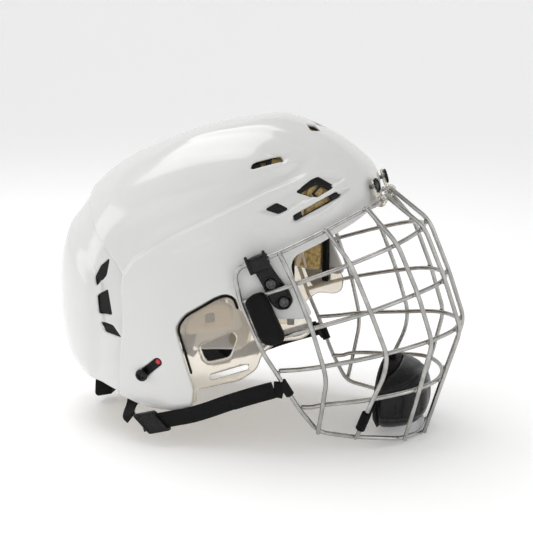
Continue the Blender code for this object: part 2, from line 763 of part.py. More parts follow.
def hinge_screw_center(sign):
    """Where a hinge clip is screwed to the brow."""
    return (108.0, sign * HINGE_CLIP_Y, 219.0)


def hinge_screw_axis():
    """Direction of the hinge clip screws."""
    return (0.96, 0.0, 0.28)


def build_hinge_clips():
    """Clear clips in which the cage's top wire turns."""
    ring = []
    for k in range(13):
        turn = math.radians(120 - 300 * k / 12)
        ring.append((HINGE[0] + HINGE_RING * math.cos(turn), HINGE[1] + HINGE_RING * math.sin(turn)))
    outline = HINGE_TAIL + ring + HINGE_TAIL_BACK

    def side(label, sign):
        center = sign * HINGE_CLIP_Y
        clip = prism("hinge_clip_" + label, outline, center - HINGE_CLIP_HALF,
                     center + HINGE_CLIP_HALF, "clear_plastic")
        pieces = [disc((HINGE[0], center, HINGE[1]), (0, 1, 0), HINGE_BORE, -9, 9, 16),
                  disc(hinge_screw_center(sign), hinge_screw_axis(), SCREW_HOLE, -12, 9, 10)]
        boolean(clip, cutter_from("hinge_bore_" + label, pieces), "DIFFERENCE")
        profile = [(0.0, 2.3), (2.8, 2.3), (4.0, 1.4), (4.0, 0.3), (1.8, 0.3), (1.8, -7.5),
                   (0.0, -7.5)]
        head = turned(hinge_screw_center(1), hinge_screw_axis(), profile, sign)
        object_from("hinge_clip_screw_" + label, [head], "screw_steel", None)

    both_sides(side)


SIDE_CLIP_OUTLINE = [(15, 166.5), (27.5, 171.8), (37, 155.5), (47.5, 141), (51, 132), (47, 124.8),
                     (39.5, 124.3), (34, 129.5), (26, 147)]
SIDE_CLIP_DEPTHS = (2.9, 0.35)
HOOK_CENTER = (25.5, 97.9, 166.8)
HOOK_ALONG = (0.92, 0.39)
HOOK_DOWN = (0.39, -0.92)
HOOK_HALF = 8.3
HOOK_ROOF = (-4.4, -2.4)
HOOK_LEG = (101.0, 103.2)
HOOK_LEG_END = 9.0


def build_side_clips():
    """Black clips at the temples that catch the cage from above."""
    def place(along, down, y):
        return (HOOK_CENTER[0] + along * HOOK_ALONG[0] + down * HOOK_DOWN[0], y,
                HOOK_CENTER[2] + along * HOOK_ALONG[1] + down * HOOK_DOWN[1])

    def hook(sign):
        rings = []
        for along in (-HOOK_HALF, HOOK_HALF):
            section = [(HOOK_ROOF[0], None), (HOOK_ROOF[0], HOOK_LEG[1]),
                       (HOOK_LEG_END, HOOK_LEG[1]), (HOOK_LEG_END, HOOK_LEG[0]),
                       (HOOK_ROOF[1], HOOK_LEG[0]), (HOOK_ROOF[1], None), (5.0, None),
                       (5.0, "back")]
            ring = []
            for index, (down, y) in enumerate(section):
                x, _, z = place(along, down, 0)
                base = float(shell_side(np.array(x), np.array(z)))
                if index in (0, 7):
                    y = base + 0.5
                elif y is None:
                    y = base + 2.6
                ring.append((x, sign * y, z))
            rings.append(ring)
        count = len(rings[0])
        verts = rings[0] + rings[1]
        faces = [(i, (i + 1) % count, count + (i + 1) % count, count + i) for i in range(count)]
        cap = [(0, 1, 4, 5), (1, 2, 3, 4), (0, 5, 6, 7)]
        faces += cap + [tuple(count + i for i in face) for face in cap]
        return verts, faces

    def side(label, sign):
        clip = object_from("side_clip_" + label, [side_plate(SIDE_CLIP_OUTLINE, *SIDE_CLIP_DEPTHS, sign)],
                     "black_plastic", None)
        boolean(clip, cutter_from("side_clip_hook_" + label, [hook(sign)]), "UNION")
        holes = cutter_from("side_clip_holes_" + label, hole_pieces(CLIP_SCREWS, SCREW_HOLE))
        boolean(clip, holes, "DIFFERENCE")
        for place_name, (x, z) in zip(("lower", "upper"), CLIP_SCREWS):
            head = screw(x, z, sign, 4.6, 3.25, 1.6, 2.7)
            object_from(f"side_clip_screw_{label}_{place_name}", [head], "screw_steel", None)

    both_sides(side)


# --------------------------------------------------------------------------------------
# cage
# --------------------------------------------------------------------------------------

def perimeter_path():
    """Closed path of the wire round the edge of the cage."""
    half = PERIMETER[1:-1]
    loop = [PERIMETER[0]] + half + [PERIMETER[-1]] + mirrored(half)[::-1]
    return round_corners(loop, BEND, 2, closed=True)


def inside_of(points, index):
    """Where a horizontal passes, one wire further in than a vertical wire at its bend."""
    before, here, after = (np.array(p, float) for p in (points[index - 1], points[index],
                                                        points[index + 1]))
    start = here + (before - here) / np.linalg.norm(before - here) * BEND
    end = here + (after - here) / np.linalg.norm(after - here) * BEND
    base = 0.25 * start + 0.5 * here + 0.25 * end
    out = np.array([here[0] - WIRE_HUB[0], here[1] - WIRE_HUB[1], 0.0])
    across = np.array([-out[1], out[0], 0.0])
    normal = np.cross(end - start, across)
    normal *= np.sign(normal @ out) / np.linalg.norm(normal)
    return tuple(base - normal * (2 * WIRE + JOIN_GAP + 0.25))


def level_path(row):
    """Path of one horizontal wire, from its right end round to its left end."""
    half = row["ends"] + [inside_of(points, row["at"]) for points in VERTICALS[::-1]]
    return spline(half + mirrored(half)[::-1], 2)


def build_cage_wires():
    """Edge wire, eight upright wires and four cross wires."""
    tube("cage_perimeter_wire", perimeter_path(), WIRE, "cage_wire", CAGE_BODY, closed=True)
    for number, points in enumerate(VERTICALS, start=1):
        for label, sign in (("right", -1), ("left", 1)):
            path = round_corners([(p[0], sign * p[1], p[2]) for p in points], BEND, 2)
            tube(f"cage_vertical_{label}_{number}", path, WIRE, "cage_wire", CAGE_BODY)
    for row in LEVELS:
        tube(row["name"], level_path(row), WIRE, "cage_wire", CAGE_BODY)


BUMPER_OUTLINE = [(15, 133), (21, 139), (29, 141.5), (33, 138), (48, 107), (47, 101), (37, 96),
                  (30, 97.5), (27, 102)]
BUMPER_INNER, BUMPER_OUTER = 97.6, 105.0


def build_bumpers():
    """Rubber bumpers on the cage, grooved for the wires."""
    def side(label, sign):
        low, high = sorted((sign * BUMPER_INNER, sign * BUMPER_OUTER))
        pad = prism("bumper_pad_" + label, BUMPER_OUTLINE, low, high, "black_rubber", CAGE_BODY)
        grooves = tube("bumper_groove_" + label, perimeter_path(), WIRE + 0.35, None, closed=True,
                       sides=10)
        boolean(pad, grooves, "DIFFERENCE")
        groove = tube("bumper_cross_groove_" + label, level_path(LEVELS[0]), WIRE + 0.35, None,
                      sides=10)
        boolean(pad, groove, "DIFFERENCE")

    both_sides(side)


CUP_CENTER = (112.0, 0.0, 32.5)
CUP_SIZE = (45.0, 44.0, 31.0)
CUP_POWER = 2.6
CUP_WALL = 3.0
CUP_BACK = 110.0
CUP_FOAM = 8.0
CUP_RINGS = 10
CUP_SIDES = 24


def curved_share(value):
    """A sine or cosine turned into the matching share of a rounded box's half size."""
    return math.copysign(abs(value) ** (2.0 / CUP_POWER), value)


def rounded_box(center, size, rings=CUP_RINGS, sides=CUP_SIDES):
    """Closed body between an ellipsoid and a box, turned about the facing direction."""
    verts = [(center[0] + size[0], center[1], center[2])]
    for r in range(1, rings):
        lift = math.pi * r / rings
        forward, reach = curved_share(math.cos(lift)), curved_share(math.sin(lift))
        for k in range(sides):
            turn = 2 * math.pi * k / sides
            verts.append((center[0] + size[0] * forward,
                          center[1] + size[1] * reach * curved_share(math.cos(turn)),
                          center[2] + size[2] * reach * curved_share(math.sin(turn))))
    verts.append((center[0] - size[0], center[1], center[2]))
    last = len(verts) - 1
    faces = []
    for k in range(sides):
        m = (k + 1) % sides
        faces.append((0, 1 + k, 1 + m))
        faces.append((last, last - sides + m, last - sides + k))
        for r in range(rings - 2):
            a = 1 + r * sides
            faces.append((a + k, a + sides + k, a + sides + m))
            faces.append((a + k, a + sides + m, a + m))
    return verts, faces


def cup_layer(name, outer, inner, slot, back_x):
    """Front half of a rounded bowl between two distances from the cup's surface."""
    big = [s - outer for s in CUP_SIZE]
    small = [s - inner for s in CUP_SIZE]
    obj = object_from(name, [rounded_box(CUP_CENTER, big)], slot, CAGE_BODY)
    boolean(obj, cutter_from(name + "_hollow", [rounded_box(CUP_CENTER, small)]), "DIFFERENCE")
    keep = [(back_x, -20), (back_x + 4, 64), (back_x + 16, 90), (FAR_AHEAD, 90), (FAR_AHEAD, -20)]
    boolean(obj, prism(name + "_keep", keep, -CUTTER_REACH, CUTTER_REACH), "INTERSECT")
    return obj


def build_chin_cup():
    """Chin cup with its soft lining, and the sleeves and arms that carry it."""
    cup_layer("chin_cup", 0.0, CUP_WALL, "black_plastic", CUP_BACK)
    cup_layer("chin_cup_pad", CUP_WALL + JOIN_GAP, CUP_WALL + CUP_FOAM, "black_rubber",
              CUP_BACK - 1.0)

    def side(label, sign):
        low, high = VERTICALS[2][-1], VERTICALS[2][-2]
        ends = [tuple(np.array(low) + (np.array(high) - np.array(low)) * t) for t in (0.25, 0.72)]
        path = [(p[0], sign * p[1], p[2]) for p in ends]
        sleeve = tube("cup_sleeve_" + label, path, 4.2, "black_rubber", CAGE_BODY, sides=12)
        full = [(p[0], sign * p[1], p[2]) for p in (low, high)]
        bore = tube("cup_sleeve_bore_" + label, full, WIRE + 0.3, None, sides=12)
        boolean(sleeve, bore, "DIFFERENCE")
        middle = (np.array(path[0]) + np.array(path[1])) / 2
        arm_path = [(middle[0] - 0.5, sign * 59.5, middle[2]), (111, sign * 56, middle[2] + 2),
                    (112.5, sign * 46.4, 31)]
        ribbon("cup_arm_" + label, arm_path, lambda t: (0.35, 0, 0.94), 12.0, 2.6,
               "black_rubber", CAGE_BODY)

    both_sides(side)


# --------------------------------------------------------------------------------------
# straps
# --------------------------------------------------------------------------------------

BUCKLE_CENTER = (-68.5, 94.0, 19.2)
BUCKLE_ALONG = (0.962, 0.272)
BUCKLE_CORNERS = [(-5, -9.6), (14, -9.6), (4, 9.6), (-15, 9.6)]
BUCKLE_HALF = 3.4
TUNNEL_ROOM = 1.4
NAPE_OUTLINE = [(-153, 50), (-156, 8), (-153.5, 5.5), (-139, 9), (-138, 12), (-148, 50)]
NAPE_HALF = 11.0
TUNNEL_LINE = [(-30, 94, 30.04), (-100, 94, 10.3)]


def buckle_outline():
    """Slanted outline of the strap buckle in the side view."""
    ax, az = BUCKLE_ALONG
    return [(BUCKLE_CENTER[0] + s * ax - w * az, BUCKLE_CENTER[2] + s * az + w * ax)
            for s, w in BUCKLE_CORNERS]


def build_straps():
    """Straps, loops, buckles, rear webs and the nape tab."""
    def side(label, sign):
        path = spline([(p[0], sign * p[1], p[2]) for p in STRAP_PATH], 2)
        ribbon("cage_strap_" + label, path, lambda t: (-0.35, 0, 0.94), WEB_WIDTH, WEB_THICK,
               "black_webbing", CAGE_BODY)
        low, high = PERIMETER[9], PERIMETER[10]
        ends = [tuple(np.array(low) + (np.array(high) - np.array(low)) * t) for t in (0.22, 0.62)]
        loop_path = [(p[0], sign * p[1], p[2]) for p in ends]
        loop = tube("strap_loop_" + label, loop_path, 4.0, "black_webbing", CAGE_BODY, sides=12)
        full = [(p[0], sign * p[1], p[2]) for p in (low, high)]
        bore = tube("strap_loop_bore_" + label, full, WIRE + 0.3, None, sides=12)
        boolean(loop, bore, "DIFFERENCE")
        low_y, high_y = sorted((sign * (BUCKLE_CENTER[1] - BUCKLE_HALF),
                                sign * (BUCKLE_CENTER[1] + BUCKLE_HALF)))
        buckle = prism("strap_buckle_" + label, buckle_outline(), low_y, high_y, "black_plastic",
                       joint_empty("buckle_slide_" + label, *mirror_y(BUCKLE_CENTER, sign)))
        through = [mirror_y(p, sign) for p in TUNNEL_LINE]
        tunnel = ribbon("strap_tunnel_" + label, through, lambda t: (-0.35, 0, 0.94),
                        WEB_WIDTH + TUNNEL_ROOM, WEB_THICK + TUNNEL_ROOM, None, None)
        boolean(buckle, tunnel, "DIFFERENCE")
        web = spline([(p[0], sign * p[1], p[2]) for p in REAR_WEB_PATH], 2)
        ribbon("rear_web_" + label, web, lambda t: (0.8, 0, 0.35), WEB_WIDTH * 0.8, WEB_THICK,
               "black_webbing", None)

    both_sides(side)
    prism("nape_tab", NAPE_OUTLINE, -NAPE_HALF, NAPE_HALF, "black_webbing", REAR_BODY)


def mirror_y(point, sign):
    """The point on the side of the helmet that sign names."""
    return (point[0], sign * point[1], point[2])


# --------------------------------------------------------------------------------------
# build
# --------------------------------------------------------------------------------------

for old in list(bpy.data.objects):
    bpy.data.objects.remove(old, do_unlink=True)

CAGE_BODY = joint_empty("cage_hinge", HINGE[0], 0, HINGE[1])
REAR_BODY = joint_empty("size_slide", SLOT_REAR[0], 0, SLOT_REAR[1])

build_front_shell()
build_rear_shell()
build_liners()
build_ear_guards()
build_size_adjusters()
build_hinge_clips()
build_side_clips()
build_cage_wires()
build_bumpers()
build_chin_cup()
build_straps()
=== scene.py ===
"""Looks of the hockey helmet with its wire cage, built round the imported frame.

Shapes are worked out in millimetres in the helmet's own working coordinates, the ones the
CAD model is designed in, and turned into the frame's metres when a mesh is made.
"""
import json
import math

import bmesh
import bpy
import numpy as np
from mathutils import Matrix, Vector


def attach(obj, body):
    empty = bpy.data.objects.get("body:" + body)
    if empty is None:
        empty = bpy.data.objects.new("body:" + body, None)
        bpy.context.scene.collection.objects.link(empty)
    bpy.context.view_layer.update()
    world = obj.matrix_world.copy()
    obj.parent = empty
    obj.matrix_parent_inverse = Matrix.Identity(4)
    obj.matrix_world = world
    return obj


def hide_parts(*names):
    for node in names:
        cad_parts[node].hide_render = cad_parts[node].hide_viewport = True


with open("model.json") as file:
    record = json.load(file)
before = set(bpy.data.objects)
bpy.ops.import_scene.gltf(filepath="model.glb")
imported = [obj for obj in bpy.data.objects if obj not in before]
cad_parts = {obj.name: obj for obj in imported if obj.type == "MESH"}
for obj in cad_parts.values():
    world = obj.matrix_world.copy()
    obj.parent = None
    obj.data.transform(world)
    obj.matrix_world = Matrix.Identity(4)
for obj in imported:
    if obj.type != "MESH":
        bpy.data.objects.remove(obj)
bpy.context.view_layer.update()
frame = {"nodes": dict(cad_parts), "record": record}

MM = 0.001
SHIFT = np.array([-1.98, 0.0, 0.77])
SIDES = (("right", -1), ("left", 1))

# ---- shell, as in the CAD model ----
HUB = np.array([-40.0, 0.0, 120.0])
PROFILE = [
    (-180, 138), (-165, 141), (-152, 145), (-141, 142), (-127, 141), (-110, 142), (-90, 145),
    (-60, 150), (-30, 152), (0, 156), (20, 163), (29, 170), (36, 178.5), (47, 177), (57, 172),
    (67, 167), (80, 152.5), (93, 142.5), (109, 136), (126, 136.5), (137, 137.5), (149, 138.5),
    (165, 138.5), (180, 138),
]
SIDE_POWER = 2.7
CROWN_POWER = 2.4
WALL = 2.6
# step for measuring slopes
PROBE = 0.05
LIP_GAP = 0.4
# how far behind the seam the rear shell stays low, so that it can slide in under the front one
RISE_START, RISE_END = 21.0, 38.0

PANEL_EDGE = [(62, 232), (26, 217), (-4, 201), (-36, 185), (-64, 171), (-79, 160), (-89, 147),
              (-91, 130), (-90, 112), (-90, 40)]
VALLEY_DEPTH = 4.0
SEAM = [(-103.5, 35), (-99, 60), (-92, 100), (-91, 130), (-94, 150), (-108, 168), (-128, 190),
        (-160, 238)]
FRONT_OUTLINE = [
    (113, 204.5), (96, 192), (72, 178), (52, 168), (49, 160), (52, 148), (62, 128), (66, 119),
    (60, 115), (24, 116), (10, 121), (6, 134), (-1, 137), (-9, 135), (-37, 118), (-44, 107),
    (-31, 53), (-34, 36), (-40, 29), (-79, 28), (-98, 34),
]
FRONT_TOP = [(-180, 270), (-160, 310), (160, 310), (160, 226)]
REAR_OUTLINE = [(-220, 58), (-140, 43), (-104, 35.3), (-101, 50), (-80, 50), (-79, 90),
                (-76, 108), (-76, 130), (-80, 146), (-97, 170), (-117, 190), (-148, 240),
                (-220, 250)]
SIDE_VENTS = [
    [(28, 206), (36, 210.5), (45, 206), (38, 202.5)],
    [(51, 219.5), (65, 228.5), (79, 222), (67, 214.5)],
    [(51, 196.5), (49, 200.5), (81, 218.5), (85, 215)],
    [(13, 236), (14, 241), (35, 247), (38, 243)],
]
REAR_VENTS = [
    [(-107, 160), (-110, 145), (-118, 135), (-120, 143), (-115, 153)],
    [(-109, 133), (-117.5, 127), (-116.5, 111.5), (-105.5, 110.5)],
    [(-115, 104), (-104, 101.5), (-95, 92.5), (-111, 95.5)],
]
TOP_VENT = [(46, 12), (52, 3), (59, 12), (52, 22)]
SIZE_SLOT = ((-75.0, 63.0), (-61.0, 75.0))
SIZE_SLOT_WIDTH = 7.5


# --------------------------------------------------------------------------------------
# numbers and curves
# --------------------------------------------------------------------------------------

def smooth(low, high, value):
    """Smooth step from 0 at low to 1 at high."""
    t = np.clip((value - low) / (high - low), 0.0, 1.0)
    return t * t * (3.0 - 2.0 * t)


def profile_radius(angle):
    """Radius of the side silhouette at an angle in degrees about the hub."""
    angles = np.array([p[0] for p in PROFILE], float)
    radii = np.array([p[1] for p in PROFILE], float)
    slopes = np.gradient(radii, angles)
    wrapped = (np.asarray(angle, float) + 180.0) % 360.0 - 180.0
    i = np.clip(np.searchsorted(angles, wrapped, side="right") - 1, 0, len(angles) - 2)
    width = angles[i + 1] - angles[i]
    t = (wrapped - angles[i]) / width
    return ((1 + 2 * t) * (1 - t) ** 2 * radii[i] + t * (1 - t) ** 2 * width * slopes[i]
            + t * t * (3 - 2 * t) * radii[i + 1] + t * t * (t - 1) * width * slopes[i + 1])


def half_width(x):
    """Half width of the shell at its widest height."""
    return 103.0 - 11.0 * smooth(-60, 70, x) - 3.0 * smooth(-110, -190, x)


def shell_share(p):
    """1 on the smooth shell, less inside it, more outside."""
    dx, dz = p[..., 0] - HUB[0], p[..., 2] - HUB[2]
    radius = profile_radius(np.degrees(np.arctan2(dz, dx)))
    return ((np.abs(p[..., 1]) / half_width(p[..., 0])) ** CROWN_POWER
            + (np.hypot(dx, dz) / radius) ** SIDE_POWER)


def on_shell(points):
    """The points pushed along their rays from the hub onto the smooth shell."""
    rays = points - HUB
    rays = rays / np.linalg.norm(rays, axis=-1, keepdims=True)
    low, high = np.zeros(len(rays)), np.full(len(rays), 300.0)
    for _ in range(34):
        middle = 0.5 * (low + high)
        inside = shell_share(HUB + rays * middle[:, None]) < 1.0
        low = np.where(inside, middle, low)
        high = np.where(inside, high, middle)
    return HUB + rays * low[:, None]


def shell_normals(points):
    """Outward unit normals of the smooth shell."""
    grads = []
    for axis in range(3):
        move = np.zeros(3)
        move[axis] = PROBE
        grads.append(shell_share(points + move) - shell_share(points - move))
    normals = np.stack(grads, axis=-1)
    return normals / np.linalg.norm(normals, axis=-1, keepdims=True)


def shell_side(x, z):
    """Height |y| of the smooth shell over a point of the side view."""
    dx, dz = x - HUB[0], z - HUB[2]
    share = np.hypot(dx, dz) / profile_radius(np.degrees(np.arctan2(dz, dx)))
    return half_width(x) * np.clip(1 - share ** SIDE_POWER, 0, 1) ** (1 / CROWN_POWER)


def line_distance(x, z, line, closed=False):
    """Signed distance to a polyline, positive on its left when walked."""
    line = list(line) + [line[0]] if closed else list(line)
    best = np.full(np.shape(x), 1e9)
    sign = np.ones(np.shape(x))
    for (ax, az), (bx, bz) in zip(line[:-1], line[1:]):
        ux, uz = bx - ax, bz - az
        t = np.clip(((x - ax) * ux + (z - az) * uz) / (ux * ux + uz * uz), 0, 1)
        gap = np.hypot(x - ax - t * ux, z - az - t * uz)
        side = np.where(ux * (z - az) - uz * (x - ax) >= 0, 1.0, -1.0)
        nearer = gap < best - 1e-9
        sign = np.where(nearer, side, sign)
        best = np.where(nearer, gap, best)
    return best * sign


def polygon_distance(x, z, outline):
    """Signed distance to a closed outline, positive inside."""
    gap = np.abs(line_distance(x, z, outline, closed=True))
    inside = np.zeros(np.shape(x), bool)
    for (ax, az), (bx, bz) in zip(outline, outline[1:] + outline[:1]):
        crosses = (az > z) != (bz > z)
        with np.errstate(divide="ignore", invalid="ignore"):
            where = (bx - ax) * (z - az) / (bz - az) + ax
        inside ^= crosses & (x < where)
    return np.where(inside, gap, -gap)


def rounded(points, radius, steps=5, closed=True):
    """Outline or path whose corners are replaced by short curves."""
    points = [np.array(p, float) for p in points]
    count = len(points)
    out = []
    for i in range(count):
        if not closed and i in (0, count - 1):
            out.append(tuple(points[i]))
            continue
        before, here, after = points[i - 1], points[i], points[(i + 1) % count]
        cut = min(radius, 0.46 * np.linalg.norm(before - here),
                  0.46 * np.linalg.norm(after - here))
        start = here + (before - here) / np.linalg.norm(before - here) * cut
        end = here + (after - here) / np.linalg.norm(after - here) * cut
        for k in range(steps + 1):
            t = k / steps
            out.append(tuple((1 - t) ** 2 * start + 2 * t * (1 - t) * here + t * t * end))
    return out


def circle(center, radius, count):
    """Points of a circle in the side view."""
    return [(center[0] + radius * math.cos(t), center[1] + radius * math.sin(t))
            for t in np.linspace(0, 2 * math.pi, count, endpoint=False)]


def slot_outline(start, end, width, steps=8):
    """Long hole with round ends."""
    along = math.atan2(end[1] - start[1], end[0] - start[0])
    points = []
    for center, first in ((end, along - math.pi / 2), (start, along + math.pi / 2)):
        for k in range(steps + 1):
            turn = first + math.pi * k / steps
            points.append((center[0] + width / 2 * math.cos(turn),
                           center[1] + width / 2 * math.sin(turn)))
    return points


def spline(points, per_span=6):
    """Smooth curve through the points, ends included; each span is paced by its length."""
    pts = [np.array(p, float) for p in points]
    pts = [2 * pts[0] - pts[1]] + pts + [2 * pts[-1] - pts[-2]]
    out = []
    for i in range(1, len(pts) - 2):
        near = pts[i - 1:i + 3]
        knots = np.cumsum([0.0] + [math.sqrt(np.linalg.norm(b - a)) for a, b in zip(near, near[1:])])
        for t in np.linspace(knots[1], knots[2], per_span, endpoint=False):
            row = near
            for low, high in (((0, 1, 2), (1, 2, 3)), ((0, 1), (2, 3)), ((1,), (2,))):
                row = [(row[k] * (knots[b] - t) + row[k + 1] * (t - knots[a])) / (knots[b] - knots[a])
                       for k, (a, b) in enumerate(zip(low, high))]
            out.append(row[0])
    out.append(pts[-2])
    return out


def mirror(points, sign):
    """The points on the side of the helmet that sign names."""
    return [(p[0], sign * p[1], p[2]) for p in points]


# --------------------------------------------------------------------------------------
# relief of the shells, in mm above the smooth shell
# --------------------------------------------------------------------------------------

POCKET = [(18, 203.5), (36, 198), (54, 192), (77, 202), (94, 219), (90, 227), (77, 236), (64, 234),
          (46, 224)]
POCKET_BAR = [(38, 196), (91, 226)]
CREASE = [(-60, 159), (-35, 171), (-18, 178), (19, 192), (40, 186), (60, 180)]
LOW_CREASE = [(-140, 78), (-105, 90), (-73, 97), (-52, 103)]
NOTCH = [(10, 250), (48, 247), (37, 240), (30, 246)]


def valley(x, z):
    """Valley above and behind the raised side panel."""
    outside = -line_distance(x, z, PANEL_EDGE)
    reach = 16 + 20 * smooth(30, -60, x)
    dip = smooth(0.0, 4.6, outside) * (1 - smooth(9.0, reach, outside))
    fade = smooth(64, 40, x) * smooth(88, 112, z) * smooth(-150, -128, x)
    return -VALLEY_DEPTH * dip * fade


def front_relief(p):
    """Front shell: valley, vent pocket with its bar, soft creases and the crown's spine."""
    x, y, z = p[:, 0], np.abs(p[:, 1]), p[:, 2]
    height = valley(x, z)
    side = smooth(30, 50, y)
    inside = polygon_distance(x, z, POCKET_OUTLINE)
    bar = np.abs(line_distance(x, z, POCKET_BAR))
    sunk = smooth(0.0, 5.0, inside) * (1 - smooth(5.5, 2.6, bar))
    height = height - 3.2 * sunk * side
    crease = line_distance(x, z, CREASE)
    ends = smooth(-62, -30, x) * smooth(60, 40, x)
    height = height + 0.9 * np.exp(-(crease / 3.2) ** 2) * ends * side
    height = height - 0.9 * smooth(0, 14, -crease) * smooth(46, 18, -crease) * ends * side
    notch = polygon_distance(x, z, NOTCH)
    height = height - 1.6 * smooth(-0.5, 3.0, notch) * side
    crown_zone = smooth(39, 46, y) * smooth(70, 60, y) * smooth(-70, -20, x) * smooth(100, 62, x)
    spine = smooth(46, 39, y) * smooth(-70, -20, x) * smooth(100, 62, x) * smooth(215, 235, z)
    return height - 1.3 * (1 - spine) * crown_zone


def rear_relief(p):
    """Rear shell: level with the front shell at the back, low near the seam and under its lip."""
    x, y, z = p[:, 0], np.abs(p[:, 1]), p[:, 2]
    behind = line_distance(x, z, SEAM)
    under = WALL + LIP_GAP
    step = -under * (1 - smooth(RISE_START, RISE_END, behind))
    height = np.minimum(valley(x, z), step)
    height = np.where(behind < RISE_START, valley(x, z) - under, height)
    low = line_distance(x, z, LOW_CREASE)
    fade = smooth(-150, -128, x)
    return height - 1.0 * smooth(0, 8, -low) * smooth(40, 18, -low) * fade


POCKET_OUTLINE = rounded(POCKET, 7, 5)


# --------------------------------------------------------------------------------------
# triangle meshes cut along level lines
# --------------------------------------------------------------------------------------

def split_edges(verts, tris, where):
    """Cut marked edges, at the share of their length that where gives, and retriangulate."""
    edges = np.sort(np.concatenate([tris[:, [0, 1]], tris[:, [1, 2]], tris[:, [2, 0]]]), axis=1)
    unique, back = np.unique(edges, axis=0, return_inverse=True)
    back = back.reshape(-1)
    share = where(unique)
    marked = share > 0
    number = np.full(len(unique), -1)
    number[marked] = len(verts) + np.arange(marked.sum())
    a, b = verts[unique[marked, 0]], verts[unique[marked, 1]]
    verts = np.concatenate([verts, a + (b - a) * share[marked][:, None]])
    count = len(tris)
    mids = np.stack([number[back[:count]], number[back[count:2 * count]],
                     number[back[2 * count:]]], axis=1)
    cuts = (mids >= 0).sum(1)
    out = [tris[cuts == 0]]
    for turn in range(3):
        order = [turn, (turn + 1) % 3, (turn + 2) % 3]
        t, m = tris[:, order], mids[:, order]
        one = (cuts == 1) & (m[:, 0] >= 0)
        v, w = t[one], m[one, 0]
        out += [np.stack([v[:, 0], w, v[:, 2]], 1), np.stack([w, v[:, 1], v[:, 2]], 1)]
        two = (cuts == 2) & (m[:, 1] < 0)
        v, w, u = t[two], m[two, 0], m[two, 2]
        out += [np.stack([v[:, 0], w, u], 1), np.stack([w, v[:, 1], v[:, 2]], 1),
                np.stack([w, v[:, 2], u], 1)]
    three = cuts == 3
    v, m = tris[three], mids[three]
    out += [np.stack([v[:, 0], m[:, 0], m[:, 2]], 1), np.stack([m[:, 0], v[:, 1], m[:, 1]], 1),
            np.stack([m[:, 2], m[:, 1], v[:, 2]], 1), m]
    return verts, np.concatenate(out)


def tidy(verts, tris):
    """Drop the points that no triangle uses."""
    used = np.unique(tris)
    number = np.full(len(verts), -1)
    number[used] = np.arange(len(used))
    return verts[used], number[tris]


def refined(verts, tris, near, longest, passes):
    """Halve the edges longer than the limit where near says so, back on the shell."""
    for _ in range(passes):
        close = near(verts)

        def halves(edges):
            length = np.linalg.norm(verts[edges[:, 0]] - verts[edges[:, 1]], axis=1)
            return np.where((close[edges[:, 0]] | close[edges[:, 1]]) & (length > longest), 0.5, 0)

        verts, tris = split_edges(verts, tris, halves)
        verts = on_shell(verts)
    return verts, tris


# points this close to a line are moved onto it, and then count as being on it
NEAR_LINE, ON_LINE = 0.28, 0.06


def cut_at(verts, tris, distance, level):
    """Put points exactly on one level line of distance, and edges along it."""
    d = distance(verts) - level
    near = np.abs(d) < NEAR_LINE
    if near.any():
        p = verts[near]
        slopes = []
        for axis in range(3):
            move = np.zeros(3)
            move[axis] = PROBE
            slopes.append((distance(p + move) - distance(p - move)) / (2 * PROBE))
        slope = np.stack(slopes, axis=-1)
        normal = shell_normals(p)
        slope -= normal * np.sum(slope * normal, axis=1)[:, None]
        size = np.maximum(np.sum(slope * slope, axis=1), 0.2)
        verts = verts.copy()
        verts[near] = on_shell(p - slope * (d[near] / size)[:, None])
        d = distance(verts) - level
    d = np.where(np.abs(d) < ON_LINE, 0.0, d)

    def crossing(edges):
        first, last = d[edges[:, 0]], d[edges[:, 1]]
        with np.errstate(divide="ignore", invalid="ignore"):
            share = first / (first - last)
        return np.where(first * last < 0, share, 0)

    verts, tris = split_edges(verts, tris, crossing)
    fresh = verts[len(d):]
    if len(fresh):
        verts[len(d):] = on_shell(fresh)
    return verts, tris, np.concatenate([d, np.zeros(len(fresh))])


def ball(level):
    """Points and triangles of an even ball about the hub, pushed onto the smooth shell."""
    bm = bmesh.new()
    bmesh.ops.create_icosphere(bm, subdivisions=level, radius=100.0)
    verts = np.array([v.co for v in bm.verts], float)
    tris = np.array([[v.index for v in f.verts] for f in bm.faces])
    bm.free()
    return on_shell(verts + HUB), tris


BALLS = {level: ball(level) for level in (6, 7)}


def dome(distance, outer, inner, level=6, relief_of=None, fine=None, rim=None, follow=1.0,
         passes=2, longest=1.5):
    """Closed part of the helmet's dome between two depths, with a rounded rim all round.

    The inner side takes the share follow of the relief."""
    verts, tris = BALLS[level]
    keep = (distance(verts) > -8.0)[tris].any(1)
    verts, tris = tidy(verts, tris[keep])
    fine = fine or (lambda p: distance(p) > -3.0)
    verts, tris = refined(verts, tris, fine, longest, passes)
    wall = outer - inner
    radius = rim or wall / 2
    for share in (1.0, 0.55, 0.2, 0.0):
        verts, tris, last = cut_at(verts, tris, distance, radius * share)
    keep = (last > -1e-6)[tris].all(1)
    verts, tris = tidy(verts, tris[keep])
    inside = np.clip(distance(verts), 0, radius)
    curl = wall / 2 * (1 - np.sqrt(np.clip(1 - (1 - inside / radius) ** 2, 0, 1)))
    normals = shell_normals(verts)
    height = relief_of(verts) if relief_of else np.zeros(len(verts))
    edges = np.sort(np.concatenate([tris[:, [0, 1]], tris[:, [1, 2]], tris[:, [2, 0]]]), axis=1)
    pairs, uses = np.unique(edges, axis=0, return_counts=True)
    rim_points = np.unique(pairs[uses == 1])
    top = verts + normals * (outer + height - curl)[:, None]
    under = verts + normals * (inner + height * follow + curl)[:, None]
    number = np.arange(len(verts)) + len(verts)
    number[rim_points] = rim_points
    faces = np.concatenate([tris, number[tris][:, ::-1]])
    return tidy(np.concatenate([top, under]), faces)


# the shells have more faces than this, and are made facing outwards
MANY_FACES = 60000


